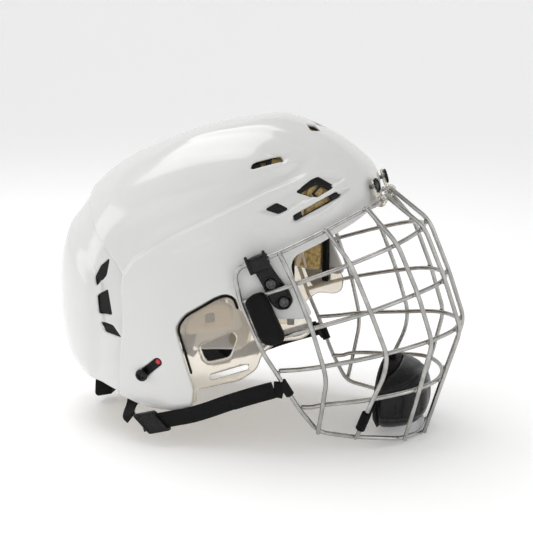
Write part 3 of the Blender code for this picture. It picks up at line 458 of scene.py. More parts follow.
def make(name, shape, angle=None):
    """Mesh object from (points, faces) or (points, faces, strap coordinates) in millimetres."""
    mesh = bpy.data.meshes.new(name)
    placed = (np.asarray(shape[0], float) + SHIFT) * MM
    faces = shape[1].tolist() if isinstance(shape[1], np.ndarray) else shape[1]
    mesh.from_pydata(placed.tolist(), [], faces)
    if len(faces) < MANY_FACES:
        bm = bmesh.new()
        bm.from_mesh(mesh)
        bmesh.ops.recalc_face_normals(bm, faces=bm.faces)
        bm.to_mesh(mesh)
        bm.free()
    mesh.shade_smooth()
    if angle:
        mesh.set_sharp_from_angle(angle=math.radians(angle))
    if len(shape) > 2:
        layer = mesh.uv_layers.new(name="strap")
        for loop in mesh.loops:
            layer.data[loop.index].uv = shape[2][loop.vertex_index]
    obj = bpy.data.objects.new(name, mesh)
    bpy.context.scene.collection.objects.link(obj)
    return obj


FRONT_EDGE = rounded(FRONT_OUTLINE + SEAM + FRONT_TOP, 4.0, 4)
REAR_EDGE = rounded(REAR_OUTLINE, 4.0, 4)
SIDE_HOLES = [rounded(v, r, 4) for v, r in zip(SIDE_VENTS, (1.6, 1.4, 1.8, 2.4))]
SIDE_HOLES.append(slot_outline(*SIZE_SLOT, SIZE_SLOT_WIDTH))
REAR_HOLES = [rounded(v, 1.6, 4) for v in REAR_VENTS]
TOP_HOLE = rounded(TOP_VENT, 1.0, 3)


def with_holes(x, y, z, edge, holes):
    """Distance inside an edge and outside its holes, the holes on the helmet's sides only."""
    best = polygon_distance(x, z, edge)
    on_side = y > 30
    for hole in holes:
        best = np.where(on_side, np.minimum(best, -polygon_distance(x, z, hole)), best)
    return best


def front_distance(p):
    """Distance inside the front shell's edge and outside its vents."""
    x, y, z = p[:, 0], np.abs(p[:, 1]), p[:, 2]
    best = with_holes(x, y, z, FRONT_EDGE, SIDE_HOLES)
    crown = -polygon_distance(x, y, TOP_HOLE)
    return np.where(z > 230, np.minimum(best, crown), best)


def rear_distance(p):
    """Distance inside the rear shell's edge and outside its vents."""
    return with_holes(p[:, 0], np.abs(p[:, 1]), p[:, 2], REAR_EDGE, REAR_HOLES)


def front_fine(p):
    """Where the front shell needs small triangles."""
    x, y, z = p[:, 0], np.abs(p[:, 1]), p[:, 2]
    ridge = np.abs(line_distance(x, z, PANEL_EDGE)) < 7
    pocket = np.abs(polygon_distance(x, z, POCKET_OUTLINE)) < 8
    crease = np.abs(line_distance(x, z, CREASE)) < 6
    return (np.abs(front_distance(p)) < 3.5) | ((ridge | pocket | crease) & (y > 20))


def rear_fine(p):
    """Where the rear shell needs small triangles."""
    behind = line_distance(p[:, 0], p[:, 2], SEAM)
    return (np.abs(rear_distance(p)) < 3.5) | ((behind > 0) & (behind < 12))


# --------------------------------------------------------------------------------------
# swept, turned and cushioned shapes
# --------------------------------------------------------------------------------------

def ring(radius, sides=16):
    """Round section."""
    turns = [2 * math.pi * k / sides for k in range(sides)]
    return [(radius * math.cos(t), radius * math.sin(t)) for t in turns]


def strip(width, thick, corner=0.5):
    """Strap section, width along the first axis, with a slightly raised edge on both sides."""
    a, b = width / 2, thick / 2
    half = [(a - corner, -b), (a - 0.3 * corner, -b + 0.3 * corner), (a, -b + corner),
            (a, b - corner), (a - 0.3 * corner, b - 0.3 * corner), (a - corner, b),
            (a - 2.2 * corner, b - 0.12), (0.5 * a, b - 0.12), (0, b - 0.12), (-0.5 * a, b - 0.12),
            (-a + 2.2 * corner, b - 0.12)]
    return half + [(-x, -y) for x, y in half]


def sweep(path, section, up=None, closed=False, scales=None):
    """Section carried along a path; up(share) fixes its first axis. Gives strap coordinates."""
    pts = np.array(path, float)
    count, sides = len(pts), len(section)
    ahead, behind = np.roll(pts, -1, 0), np.roll(pts, 1, 0)
    if not closed:
        ahead[-1], behind[0] = pts[-1], pts[0]
    along = ahead - behind
    along /= np.linalg.norm(along, axis=1)[:, None]
    walked = np.concatenate([[0], np.cumsum(np.linalg.norm(np.diff(pts, axis=0), axis=1))])
    guide = np.array([0.31, 0.2, 0.93])
    points, where = [], []
    for i in range(count):
        wish = np.array(up(i / (count - 1)), float) if up else guide
        guide = wish - along[i] * (wish @ along[i])
        guide /= np.linalg.norm(guide)
        face = np.cross(along[i], guide)
        wide, thick = scales[i] if scales else (1.0, 1.0)
        for a, b in section:
            points.append(pts[i] + wide * a * guide + thick * b * face)
            where.append((walked[i], a))
    skew = 0
    if closed:
        skew = min(range(sides), key=lambda s: np.linalg.norm(points[-sides] - points[s]))
    faces = []
    for i in range(count if closed else count - 1):
        n, turn = (i + 1) % count, skew if i == count - 1 else 0
        for k in range(sides):
            m = (k + 1) % sides
            faces.append((i * sides + k, i * sides + m, n * sides + (m + turn) % sides,
                          n * sides + (k + turn) % sides))
    if not closed:
        faces.append(tuple(range(sides))[::-1])
        faces.append(tuple((count - 1) * sides + k for k in range(sides)))
    return points, faces, where


def tapered(path, length, share):
    """An open path with one more point near each end, and the scales that bevel its ends."""
    pts = [np.array(p, float) for p in path]
    first = (pts[1] - pts[0]) / np.linalg.norm(pts[1] - pts[0])
    last = (pts[-2] - pts[-1]) / np.linalg.norm(pts[-2] - pts[-1])
    full = [pts[0], pts[0] + first * length] + pts[1:-1] + [pts[-1] + last * length, pts[-1]]
    return full, [(share, share)] + [(1.0, 1.0)] * (len(full) - 2) + [(share, share)]


def turned(center, axis, rows, sides=40, dent=None, closed=False, side=None):
    """Solid turned about an axis from (radius, height) rows; dent(radius, angle) sinks the top."""
    center, axis = Vector(center), Vector(axis).normalized()
    side = (Vector(side) - axis * axis.dot(Vector(side))).normalized() if side else axis.orthogonal()
    side.normalize()
    other = axis.cross(side)
    points, rings = [], []
    for index, (radius, height) in enumerate(rows):
        radius, height = float(radius), float(height)
        if radius == 0.0:
            sink = dent(0.0, 0.0) if dent and index == 0 else 0.0
            points.append(center + axis * (height - sink))
            rings.append([len(points) - 1])
            continue
        made = []
        for k in range(sides):
            turn = 2 * math.pi * k / sides
            sink = dent(radius, turn) if dent and height == rows[0][1] else 0.0
            points.append(center + axis * (height - sink)
                          + radius * (math.cos(turn) * side + math.sin(turn) * other))
            made.append(len(points) - 1)
        rings.append(made)
    faces = []
    pairs = list(zip(rings, rings[1:] + rings[:1])) if closed else list(zip(rings[:-1], rings[1:]))
    for upper, lower in pairs:
        for k in range(sides):
            m = (k + 1) % sides
            if len(upper) == 1:
                faces.append((upper[0], lower[k], lower[m]))
            elif len(lower) == 1:
                faces.append((upper[k], upper[m], lower[0]))
            else:
                faces.append((upper[k], upper[m], lower[m], lower[k]))
    return [tuple(p) for p in points], faces


def cross_recess(size, depth):
    """Driver recess: four tapering arms."""
    def dent(radius, turn):
        u, v = abs(radius * math.cos(turn)), abs(radius * math.sin(turn))
        thin, long = min(u, v), max(u, v)
        arm = 1 - float(smooth(0.16 * size, 0.24 * size, thin))
        return depth * arm * (1 - float(smooth(0.5 * size, 0.62 * size, long)))
    return dent


def pillow(outline, rows, place, crown=0.0):
    """Rings of an outline at (inset, height) rows from top to bottom, closed by caps.

    crown raises the middle of the top cap."""
    flat = np.array(outline, float)
    area = np.sum(flat[:, 0] * np.roll(flat[:, 1], -1) - np.roll(flat[:, 0], -1) * flat[:, 1])
    edge = np.roll(flat, -1, 0) - flat
    edge /= np.linalg.norm(edge, axis=1)[:, None]
    inward = np.stack([-edge[:, 1], edge[:, 0]], 1) * np.sign(area)
    corner = inward + np.roll(inward, 1, 0)
    corner /= np.maximum(np.sum(corner * inward, axis=1), 0.5)[:, None]
    middle, count = flat.mean(0), len(flat)
    points, rings = [], []
    top = rows[0][1]
    for share in (0.25, 0.5, 0.75, 0.92):
        inner = middle + (flat + corner * rows[0][0] - middle) * share
        rings.append([(p[0], p[1], top + crown * (1 - share ** 2)) for p in inner])
    rings += [[(p[0], p[1], height) for p in flat + corner * inset] for inset, height in rows]
    for made in rings:
        points += [place(*p) for p in made]
    faces = [tuple(range(count))]
    for r in range(len(rings) - 1):
        faces += [(r * count + k, r * count + (k + 1) % count, (r + 1) * count + (k + 1) % count,
                   (r + 1) * count + k) for k in range(count)]
    faces.append(tuple((len(rings) - 1) * count + k for k in range(count)))
    return points, faces


def joined(shapes):
    """Several shapes as one, with strap coordinates if every shape has them."""
    points, faces, where = [], [], []
    for shape in shapes:
        base = len(points)
        points += [tuple(p) for p in shape[0]]
        faces += [tuple(int(i) + base for i in face) for face in shape[1]]
        where += shape[2] if len(shape) > 2 else [(0.0, 0.0)] * len(shape[0])
    return points, faces, where


def side_frame(x, z, sign):
    """Point of the smooth shell over a side-view point, and its outward normal."""
    point = np.array([[x, sign * float(shell_side(np.array(x), np.array(z))), z]])
    return point[0], shell_normals(point)[0]


def region(outline, sign=0, holes=(), low_y=25.0):
    """Distance inside a side-view outline and outside its holes, on one side or on both."""
    def distance(p):
        x, z = p[:, 0], p[:, 2]
        best = polygon_distance(x, z, outline)
        for hole in holes:
            best = np.minimum(best, -polygon_distance(x, z, hole))
        side = sign * p[:, 1] if sign else np.abs(p[:, 1])
        return np.minimum(best, side - low_y) if low_y is not None else best
    return distance


def valley_relief(p):
    """The side valley, for the layers that follow the front shell."""
    return valley(p[:, 0], p[:, 2])


# --------------------------------------------------------------------------------------
# materials
# --------------------------------------------------------------------------------------

class Shader:
    """Principled material with helpers for the node patterns that drive it."""

    def __init__(self, name, color, roughness, **constants):
        self.material = bpy.data.materials.new(name)
        self.material.use_nodes = True
        self.tree = self.material.node_tree
        self.shader = self.tree.nodes["Principled BSDF"]
        self.place = self.node("ShaderNodeTexCoord").outputs["Object"]
        self.shader.inputs["Base Color"].default_value = (*color, 1.0)
        self.shader.inputs["Roughness"].default_value = roughness
        for key, value in constants.items():
            self.shader.inputs[key.replace("_", " ")].default_value = value

    def node(self, kind, **settings):
        """New node, with its attributes and then its inputs set by name."""
        made = self.tree.nodes.new(kind)
        for key, value in settings.items():
            if hasattr(made, key):
                setattr(made, key, value)
            else:
                made.inputs[key.replace("_", " ")].default_value = value
        return made

    def link(self, start, end):
        """Join an output to an input."""
        self.tree.links.new(start, end)

    def noise(self, scale, detail=4.0, roughness=0.55, stretch=None):
        """Noise over the object's own space; stretch scales each axis."""
        made = self.node("ShaderNodeTexNoise", Scale=scale, Detail=detail, Roughness=roughness)
        place = self.place
        if stretch:
            mapping = self.node("ShaderNodeMapping")
            mapping.inputs["Scale"].default_value = stretch
            self.link(place, mapping.inputs["Vector"])
            place = mapping.outputs["Vector"]
        self.link(place, made.inputs["Vector"])
        return made.outputs["Fac"]

    def cells(self, scale, feature="F1", randomness=1.0):
        """Distances of a cell pattern over the object's own space."""
        made = self.node("ShaderNodeTexVoronoi", feature=feature, Scale=scale)
        made.inputs["Randomness"].default_value = randomness
        self.link(self.place, made.inputs["Vector"])
        return made.outputs["Distance"]

    def ramp(self, value, stops):
        """Colours or greys by value; stops are (place, colour or grey)."""
        made = self.node("ShaderNodeValToRGB")
        elements = made.color_ramp.elements
        while len(elements) < len(stops):
            elements.new(0.5)
        for element, (place, color) in zip(elements, stops):
            element.position = place
            color = (color,) * 3 if isinstance(color, (int, float)) else color
            element.color = (*color, 1.0)
        self.link(value, made.inputs["Fac"])
        return made.outputs["Color"]

    def math(self, operation, first, second):
        """One math node; each side is an output or a number."""
        made = self.node("ShaderNodeMath", operation=operation)
        for index, side in enumerate((first, second)):
            if isinstance(side, (int, float)):
                made.inputs[index].default_value = side
            else:
                self.link(side, made.inputs[index])
        return made.outputs["Value"]

    def color(self, source):
        """Drive the base colour."""
        self.link(source, self.shader.inputs["Base Color"])
        return self

    def roughness(self, source):
        """Drive the roughness."""
        self.link(source, self.shader.inputs["Roughness"])
        return self

    def bump(self, height, strength, distance_mm):
        """Raise the surface by a height pattern."""
        made = self.node("ShaderNodeBump", Strength=strength, Distance=distance_mm * MM)
        self.link(height, made.inputs["Height"])
        before = self.shader.inputs["Normal"].links
        if before:
            self.link(before[0].from_socket, made.inputs["Normal"])
        self.link(made.outputs["Normal"], self.shader.inputs["Normal"])
        return self


def shell_material():
    """Glossy moulded white with a very faint flow in colour and gloss."""
    made = Shader("white_shell", (0.70, 0.70, 0.688), 0.16, Coat_Weight=0.35, Coat_Roughness=0.06)
    flow = made.noise(9.0, 2.0)
    made.color(made.ramp(flow, [(0.3, (0.69, 0.69, 0.678)), (0.7, (0.715, 0.712, 0.70))]))
    made.roughness(made.ramp(made.noise(420.0, 3.0), [(0.3, 0.13), (0.7, 0.2)]))
    return made.bump(made.noise(260.0, 2.0), 0.06, 0.25).material


def wire_material():
    """Satin plated wire, brushed unevenly and a little darker in places."""
    made = Shader("cage_wire", (0.44, 0.435, 0.42), 0.24, Metallic=1.0)
    tone = made.noise(120.0, 4.0)
    made.color(made.ramp(tone, [(0.3, (0.36, 0.355, 0.34)), (0.7, (0.52, 0.515, 0.50))]))
    made.roughness(made.ramp(made.noise(900.0, 3.0), [(0.3, 0.18), (0.7, 0.3)]))
    return made.bump(made.noise(1500.0, 2.0), 0.12, 0.1).material


def black_plastic_material():
    """Black moulded plastic with a fine skin."""
    made = Shader("black_plastic", (0.003, 0.003, 0.004), 0.26, Specular_IOR_Level=0.3)
    made.roughness(made.ramp(made.noise(500.0, 4.0), [(0.3, 0.24), (0.7, 0.42)]))
    return made.bump(made.noise(1400.0, 3.0), 0.15, 0.12).material


def rubber_material():
    """Matte black rubber with a fine grain."""
    made = Shader("black_rubber", (0.003, 0.003, 0.0035), 0.62, Specular_IOR_Level=0.14)
    made.roughness(made.ramp(made.noise(700.0, 4.0), [(0.3, 0.5), (0.7, 0.72)]))
    return made.bump(made.noise(2200.0, 3.0), 0.3, 0.12).material


def webbing_material():
    """Black woven webbing: ribs along the strap crossed by finer picks."""
    made = Shader("black_webbing", (0.004, 0.004, 0.005), 0.85, Specular_IOR_Level=0.2,
                  Sheen_Weight=0.06, Sheen_Roughness=0.5)
    place = made.node("ShaderNodeUVMap", uv_map="strap").outputs["UV"]
    across = made.node("ShaderNodeSeparateXYZ")
    made.link(place, across.inputs["Vector"])
    rib = made.math("SINE", made.math("MULTIPLY", across.outputs["Y"], 2 * math.pi / 1.25), 0.0)
    pick = made.math("SINE", made.math("MULTIPLY", across.outputs["X"], 2 * math.pi / 0.9), 0.0)
    weave = made.math("MULTIPLY", made.math("ADD", rib, 1.4), made.math("ADD", pick, 2.0))
    made.color(made.ramp(made.math("DIVIDE", weave, 7.2), [(0.1, 0.002), (0.9, 0.009)]))
    return made.bump(weave, 0.5, 0.12).material


def foam_material():
    """Gold-brown bead foam: fused beads with darker joins."""
    made = Shader("foam_liner", (0.66, 0.50, 0.22), 0.75)
    beads = made.cells(330.0)
    made.color(made.ramp(beads, [(0.1, (0.74, 0.57, 0.27)), (0.55, (0.62, 0.46, 0.19)),
                                 (0.8, (0.40, 0.28, 0.10))]))
    return made.bump(beads, 0.5, -0.5).material


def comfort_material():
    """Soft tan foam skin with a fine pebble."""
    made = Shader("comfort_foam", (0.78, 0.68, 0.57), 0.8, Sheen_Weight=0.2)
    tone = made.noise(60.0, 3.0)
    made.color(made.ramp(tone, [(0.3, (0.74, 0.64, 0.53)), (0.7, (0.82, 0.72, 0.61))]))
    return made.bump(made.cells(900.0), 0.35, 0.2).material


def clear_material():
    """Clear plastic, faintly warm."""
    made = Shader("clear_plastic", (0.93, 0.87, 0.77), 0.06, Transmission_Weight=0.8, IOR=1.46)
    made.roughness(made.ramp(made.noise(300.0, 3.0), [(0.3, 0.03), (0.7, 0.09)]))
    return made.bump(made.noise(60.0, 2.0), 0.05, 0.6).material


def screw_material():
    """Dark nickel screws with turning marks."""
    made = Shader("screw_steel", (0.11, 0.108, 0.105), 0.22, Metallic=1.0)
    made.roughness(made.ramp(made.noise(1200.0, 3.0), [(0.3, 0.22), (0.7, 0.42)]))
    return made.bump(made.noise(2500.0, 2.0), 0.15, 0.08).material


def mark_material():
    """Red moulded mark, a little uneven."""
    made = Shader("red_mark", (0.62, 0.03, 0.04), 0.4)
    made.color(made.ramp(made.noise(500.0, 3.0), [(0.3, (0.5, 0.02, 0.03)), (0.7, (0.72, 0.04, 0.06))]))
    return made.material


RED_MARK = mark_material()
LOOKS = {
    "white_shell": shell_material(), "cage_wire": wire_material(),
    "black_plastic": black_plastic_material(), "black_rubber": rubber_material(),
    "black_webbing": webbing_material(), "foam_liner": foam_material(),
    "comfort_foam": comfort_material(), "clear_plastic": clear_material(),
    "screw_steel": screw_material(),
}
SLOT_OF = {row["node"]: row["material_slot"] for row in frame["record"]["subparts"]}
BODY_OF = {node: body for body, nodes in frame["record"]["behaviour"]["bodies"].items()
           for node in nodes}


def place_of(piece, slot, body, *nodes):
    """Dress a new piece, let it ride on its body and stand for its CAD nodes."""
    piece.data.materials.append(LOOKS[slot])
    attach(piece, body)
    if nodes:
        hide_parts(*nodes)
    return piece


def stand_in(node, shape, angle=None):
    """Fine piece in place of a CAD node, in that node's slot and on its body."""
    return place_of(make(node + "_fine", shape, angle), SLOT_OF[node], BODY_OF[node], node)


for name, node in frame["nodes"].items():
    node.data.materials.clear()
    node.data.materials.append(LOOKS[SLOT_OF[name]])


# --------------------------------------------------------------------------------------
# camera, floor and light
# --------------------------------------------------------------------------------------

AIM = (np.array([8.0, 0.0, 138.0]) + SHIFT) * MM
AZIMUTH, ELEVATION = math.radians(13.97), math.radians(13.50)
CAMERA_DISTANCE = 1.0
LENS = 75.9


def add_camera():
    """Camera at the helmet's right side, a little in front and above."""
    data = bpy.data.cameras.new("camera")
    data.lens = LENS
    data.sensor_width = 36.0
    data.clip_end = 50.0
    camera = bpy.data.objects.new("camera", data)
    bpy.context.scene.collection.objects.link(camera)
    back = Vector((math.sin(AZIMUTH) * math.cos(ELEVATION),
                   -math.cos(AZIMUTH) * math.cos(ELEVATION), math.sin(ELEVATION)))
    camera.location = Vector(AIM) + back * CAMERA_DISTANCE
    camera.rotation_mode = "QUATERNION"
    camera.rotation_quaternion = (-back).to_track_quat("-Z", "Y")
    bpy.context.scene.camera = camera


def add_floor():
    """Plain pale floor that runs up into a backdrop on every side."""
    verts, faces = [], []
    rings, sides = 26, 96
    for r in range(rings):
        share = r / (rings - 1)
        radius = 4.5 * share
        height = -0.0006 + 3.0 * smooth(0.35, 1.0, share) ** 2
        for k in range(sides):
            turn = 2 * math.pi * k / sides
            verts.append((radius * math.cos(turn), radius * math.sin(turn), float(height)))
    for r in range(rings - 1):
        for k in range(sides):
            n = (k + 1) % sides
            faces.append((r * sides + k, r * sides + n, (r + 1) * sides + n, (r + 1) * sides + k))
    mesh = bpy.data.meshes.new("floor")
    mesh.from_pydata(verts, [], faces)
    mesh.shade_smooth()
    floor = bpy.data.objects.new("floor", mesh)
    bpy.context.scene.collection.objects.link(floor)
    look = Shader("floor", (0.93, 0.93, 0.93), 0.9)
    look.color(look.ramp(look.noise(1.5, 2.0), [(0.3, 0.925), (0.7, 0.935)]))
    look.shader.inputs["Emission Color"].default_value = (1.0, 1.0, 1.0, 1.0)
    look.shader.inputs["Emission Strength"].default_value = 0.2
    mesh.materials.append(look.material)


def add_light(name, place, size, power, color=(1.0, 1.0, 1.0)):
    """Square soft light aimed at the helmet."""
    data = bpy.data.lights.new(name, "AREA")
    data.shape = "RECTANGLE"
    data.size, data.size_y = size
    data.energy = power
    data.color = color
    lamp = bpy.data.objects.new(name, data)
    lamp.location = place
    aim = Vector(AIM) - Vector(place)
    lamp.rotation_mode = "QUATERNION"
    lamp.rotation_quaternion = aim.to_track_quat("-Z", "Y")
    bpy.context.scene.collection.objects.link(lamp)


def add_world(strength):
    """Even white surroundings."""
    world = bpy.data.worlds.new("studio")
    world.use_nodes = True
    back = world.node_tree.nodes["Background"]
    back.inputs["Color"].default_value = (1.0, 1.0, 1.0, 1.0)
    back.inputs["Strength"].default_value = strength
    bpy.context.scene.world = world


add_camera()
add_floor()
add_world(0.5)
add_light("top", (-0.45, 0.2, 1.45), (1.2, 1.2), 10.0)
add_light("front", (1.3, -0.9, 0.7), (0.7, 0.9), 1.6)
add_light("side", (-0.7, -1.5, 0.75), (0.9, 0.7), 0.8)
add_light("rear", (-1.5, -0.55, 0.55), (0.7, 0.9), 3.2)
bpy.context.scene.view_settings.view_transform = "Standard"

# --------------------------------------------------------------------------------------
# shells and the layers behind their vents
# --------------------------------------------------------------------------------------

HELMET, REAR, CAGE = BODY_OF["front_shell"], BODY_OF["rear_shell"], BODY_OF["cage_perimeter_wire"]


def add_shells():
    """Both shells."""
    stand_in("front_shell", dome(front_distance, 0.0, -WALL, 7, front_relief, front_fine))
    stand_in("rear_shell", dome(rear_distance, 0.0, 0.2 - WALL, 7, rear_relief, rear_fine))


def grown(outline, by):
    """Outline moved away from its middle."""
    middle = np.mean(outline, axis=0)
    return [tuple(middle + (np.array(p) - middle) * (1 + by / np.linalg.norm(np.array(p) - middle)))
            for p in outline]


LINING_WINDOWS = [
    [(54, 218.6), (66, 225.5), (67.5, 224.5), (62.5, 218), (66.5, 215)],
    [(68.5, 215.2), (65, 218), (69.5, 223.5), (76, 220.5)],
    [(57, 200.5), (55.5, 204), (76, 215.5), (78.5, 212.5)],
    [(20, 238.5), (20.5, 242.5), (24, 243.2), (24.5, 239.5)],
    [(29, 240), (28.5, 245), (37, 247.5), (38.5, 243)],
]


def add_vent_linings():
    """Black layer seen through the side vents, with openings onto the liner, and rear linings."""
    front_holes = [rounded(w, 0.4, 2) for w in LINING_WINDOWS]
    for label, sign in SIDES:
        shapes = []
        for vent in SIDE_VENTS:
            shapes.append(dome(region(rounded(grown(vent, 4), 2, 3), sign, front_holes),
                               -3.4, -5.6, passes=3))
        piece = make("vent_lining_" + label, joined(shapes))
        place_of(piece, "black_plastic", HELMET)
        shapes = [dome(region(rounded(grown(vent, 3), 2, 3), sign), -4.0, -6.0, passes=2,
                       relief_of=valley_relief) for vent in REAR_VENTS]
        piece = make("rear_vent_lining_" + label, joined(shapes))
        place_of(piece, "black_plastic", REAR)


# --------------------------------------------------------------------------------------
# liner and pads
# --------------------------------------------------------------------------------------

FOREHEAD_OUTLINE = [(112, 208), (94, 195), (72, 181), (59, 174), (59, 300), (150, 300), (150, 225)]
CROWN_OUTLINE = [(58, 205), (58, 300), (-80, 300), (-80, 205)]
SIDE_OUTLINE = [(57, 174), (57, 204), (-58, 204), (-66, 150), (-58, 124), (-50, 124), (-20, 142),
                (-4, 146), (40, 146), (46, 158), (48, 168)]
REAR_LINER_OUTLINE = [(-93, 62), (-92, 150), (-112, 188), (-135, 222), (-210, 230), (-210, 68)]
FOREHEAD_PAD_OUTLINE = [(105, 209), (92, 199), (74, 189), (74, 232), (150, 232)]
REAR_PAD_OUTLINE = [(-120, 90), (-120, 140), (-210, 140), (-210, 90)]
TEMPLE_PAD_OUTLINE = [(44, 172), (44, 196), (-10, 190), (-10, 156), (34, 156)]
EAR_PAD_OUTLINE = [(-38, 98), (4, 106), (3, 126), (-12, 130), (-36, 116)]
LINER_DEPTHS = (-7.3, -16.0)
PAD_DEPTHS = (-16.4, -20.0)
# how far from the middle plane the side pieces start
SIDE_REACH = 30.0


def channels(p):
    """Shallow crossing channels on the head side of the bead-foam liner."""
    x, y, z = p[:, 0], np.abs(p[:, 1]), p[:, 2]
    lines = np.minimum(np.abs((x + 0.35 * z) % 34 - 17), np.abs((z + 0.6 * y) % 38 - 19))
    return -1.6 * (1 - smooth(1.6, 3.4, lines))


def soft_relief(p):
    """Slow unevenness of a soft pad."""
    return 0.35 * np.sin(p[:, 0] * 0.21 + 1.0) * np.cos(p[:, 2] * 0.17) + 0.2 * np.sin(p[:, 1] * 0.3)


def add_foam(name, outline, depths, sign=0, low_y=None):
    """One bead-foam block of the liner."""
    shape = dome(region(rounded(outline, 3, 3), sign, (), low_y), *depths, rim=2.2, passes=1,
                 relief_of=channels, follow=0.0)
    stand_in(name, shape)


def add_pad(name, outline, depths, sign=0, low_y=None, holes=()):
    """One soft pad."""
    shape = dome(region(rounded(outline, 6, 5), sign, holes, low_y), *depths, passes=2,
                 relief_of=soft_relief)
    stand_in(name, shape)


def add_liners():
    """Liner blocks and pads of both bodies."""
    add_foam("liner_forehead", FOREHEAD_OUTLINE, LINER_DEPTHS)
    add_foam("liner_crown", CROWN_OUTLINE, LINER_DEPTHS)
    add_foam("liner_rear", REAR_LINER_OUTLINE, (-10.3, -18.0))
    add_pad("pad_forehead", FOREHEAD_PAD_OUTLINE, PAD_DEPTHS)
    add_pad("pad_rear", REAR_PAD_OUTLINE, (-18.4, -22.0))
    for label, sign in SIDES:
        add_foam("liner_side_" + label, SIDE_OUTLINE, LINER_DEPTHS, sign, SIDE_REACH)
        add_pad("pad_temple_" + label, TEMPLE_PAD_OUTLINE, PAD_DEPTHS, sign, SIDE_REACH)
        add_pad("ear_pad_" + label, EAR_PAD_OUTLINE, (-6.2, -14.0), sign, SIDE_REACH,
                [rounded([(-20, 109), (-12, 111), (-12.5, 119), (-20.5, 117)], 1.5, 3)])


TEMPLE_FOAM = [(8, 168), (8, 126), (15, 119), (44, 119), (45.5, 124), (45.5, 170), (30, 176)]
# lighter foam strips that paint the highlights where light catches the clear guard's ridges
TEMPLE_HIGHLIGHT_STRIPS = [[(19, 120), (24, 120), (40, 172), (34, 172)],
               [(30, 120), (33, 120), (20, 168), (16, 168)]]
# black band at the foam's edge: partly the foam's black backing, partly painted shade in the gap to the
# shell
TEMPLE_SHADE_BAND = [(47, 108), (53, 108), (53, 168), (47, 172)]


def add_temple_foam():
    """Bead foam inside the shell at each temple, with lighter strips over it that paint the highlights on
    the clear guard's ridges, and a black band at its edge that is partly the foam's black backing and
    partly painted shade in the gap to the shell.
    """
    for label, sign in SIDES:
        for name, outline, depths, slot in (
                [("temple_foam", TEMPLE_FOAM, (-5.7, -12.0), "foam_liner"),
                 ("temple_shade_band", TEMPLE_SHADE_BAND, (-5.7, -11.0), "black_rubber")]
                + [(f"temple_rib_{k}", rib, (-12.3, -14.0), "comfort_foam")
                   for k, rib in enumerate(TEMPLE_HIGHLIGHT_STRIPS, start=1)]):
            shape = dome(region(rounded(outline, 1.2, 3), sign), *depths, rim=0.8, passes=2)
            place_of(make(f"{name}_{label}", shape), slot, HELMET)


# --------------------------------------------------------------------------------------
# ear guards and size adjusters
# --------------------------------------------------------------------------------------

EAR_OUTLINE = [
    (-49, 112), (-40, 122.5), (-9, 141), (3, 142), (14, 133), (24, 121.5), (60, 121.5), (67, 114),
    (65.5, 101), (58, 96), (40, 95), (27, 84), (22, 70), (8, 59.5), (-14, 54), (-29, 50), (-30, 37),
    (-37, 31), (-52, 33), (-53.5, 42), (-40, 50), (-46, 80),
]
EAR_EDGE = rounded(EAR_OUTLINE, 4.5, 5)
EAR_WINDOW = rounded([(-24, 91), (3, 104), (6.5, 99), (0.5, 82), (-19, 77)], 4, 5)
EAR_SLOT = slot_outline((-15, 62.5), (13, 72), 4.5)
# path of a black strip that paints the shadow in the gap between the ear guard and the shell's edge
GUARD_GAP_SHADE = [(-32, 66), (-42.2, 106.5), (-35.8, 116.6), (-8.4, 133.3), (-1.2, 135.2), (4.4, 132.8),
              (7.5, 124)]
ARM_OUTLINE = [(-78.5, 51), (-62, 51), (-58, 56), (-58, 84), (-62, 89), (-78.5, 89)]
CLIP_SCREWS = [(43.5, 131.0), (33.5, 146.0)]


def guard_relief(p):
    """Ear guard: the shell's valley, a raised edge, steps at the lower front, a window rim."""
    x, z = p[:, 0], p[:, 2]
    inside = polygon_distance(x, z, EAR_EDGE)
    edge = 0.5 * (1 - smooth(2.2, 3.0, inside))
    low = smooth(-8, 4, x) * smooth(84, 70, z)
    steps = 0.45 * (smooth(3.4, 3.8, inside) - smooth(5.6, 6.0, inside) + smooth(8.2, 8.6, inside)
                    - smooth(10.8, 11.2, inside)) * low
    window = -polygon_distance(x, z, EAR_WINDOW)
    lip = 0.5 * (1 - smooth(1.6, 2.3, window)) * smooth(-0.5, 0.0, window)
    return valley(x, z) + edge + steps + lip


def arm_relief(p):
    """Size arm: the shell's valley and cross ribs along the slot."""
    (ax, az), (bx, bz) = SIZE_SLOT
    length = math.hypot(bx - ax, bz - az)
    along = ((p[:, 0] - ax) * (bx - ax) + (p[:, 2] - az) * (bz - az)) / length
    return valley(p[:, 0], p[:, 2]) + 0.35 * np.sin(along * 2 * math.pi / 2.2)


def add_guard_gap_shades():
    """Black strip that paints the shadow in the gap between each ear guard and the edge of the shell, at
    the top and the rear.
    """
    for label, sign in SIDES:
        path = []
        for x, z in rounded(GUARD_GAP_SHADE, 5.0, 5, closed=False):
            center, normal = side_frame(x, z, sign)
            path.append(np.array(center, float) - np.array(normal, float) * 2.1)
        full, scales = tapered(path, 1.5, 0.5)
        place_of(make("guard_gap_shade_" + label, sweep(full, ring(1.05, 12), scales=scales)),
                 "black_rubber", HELMET)


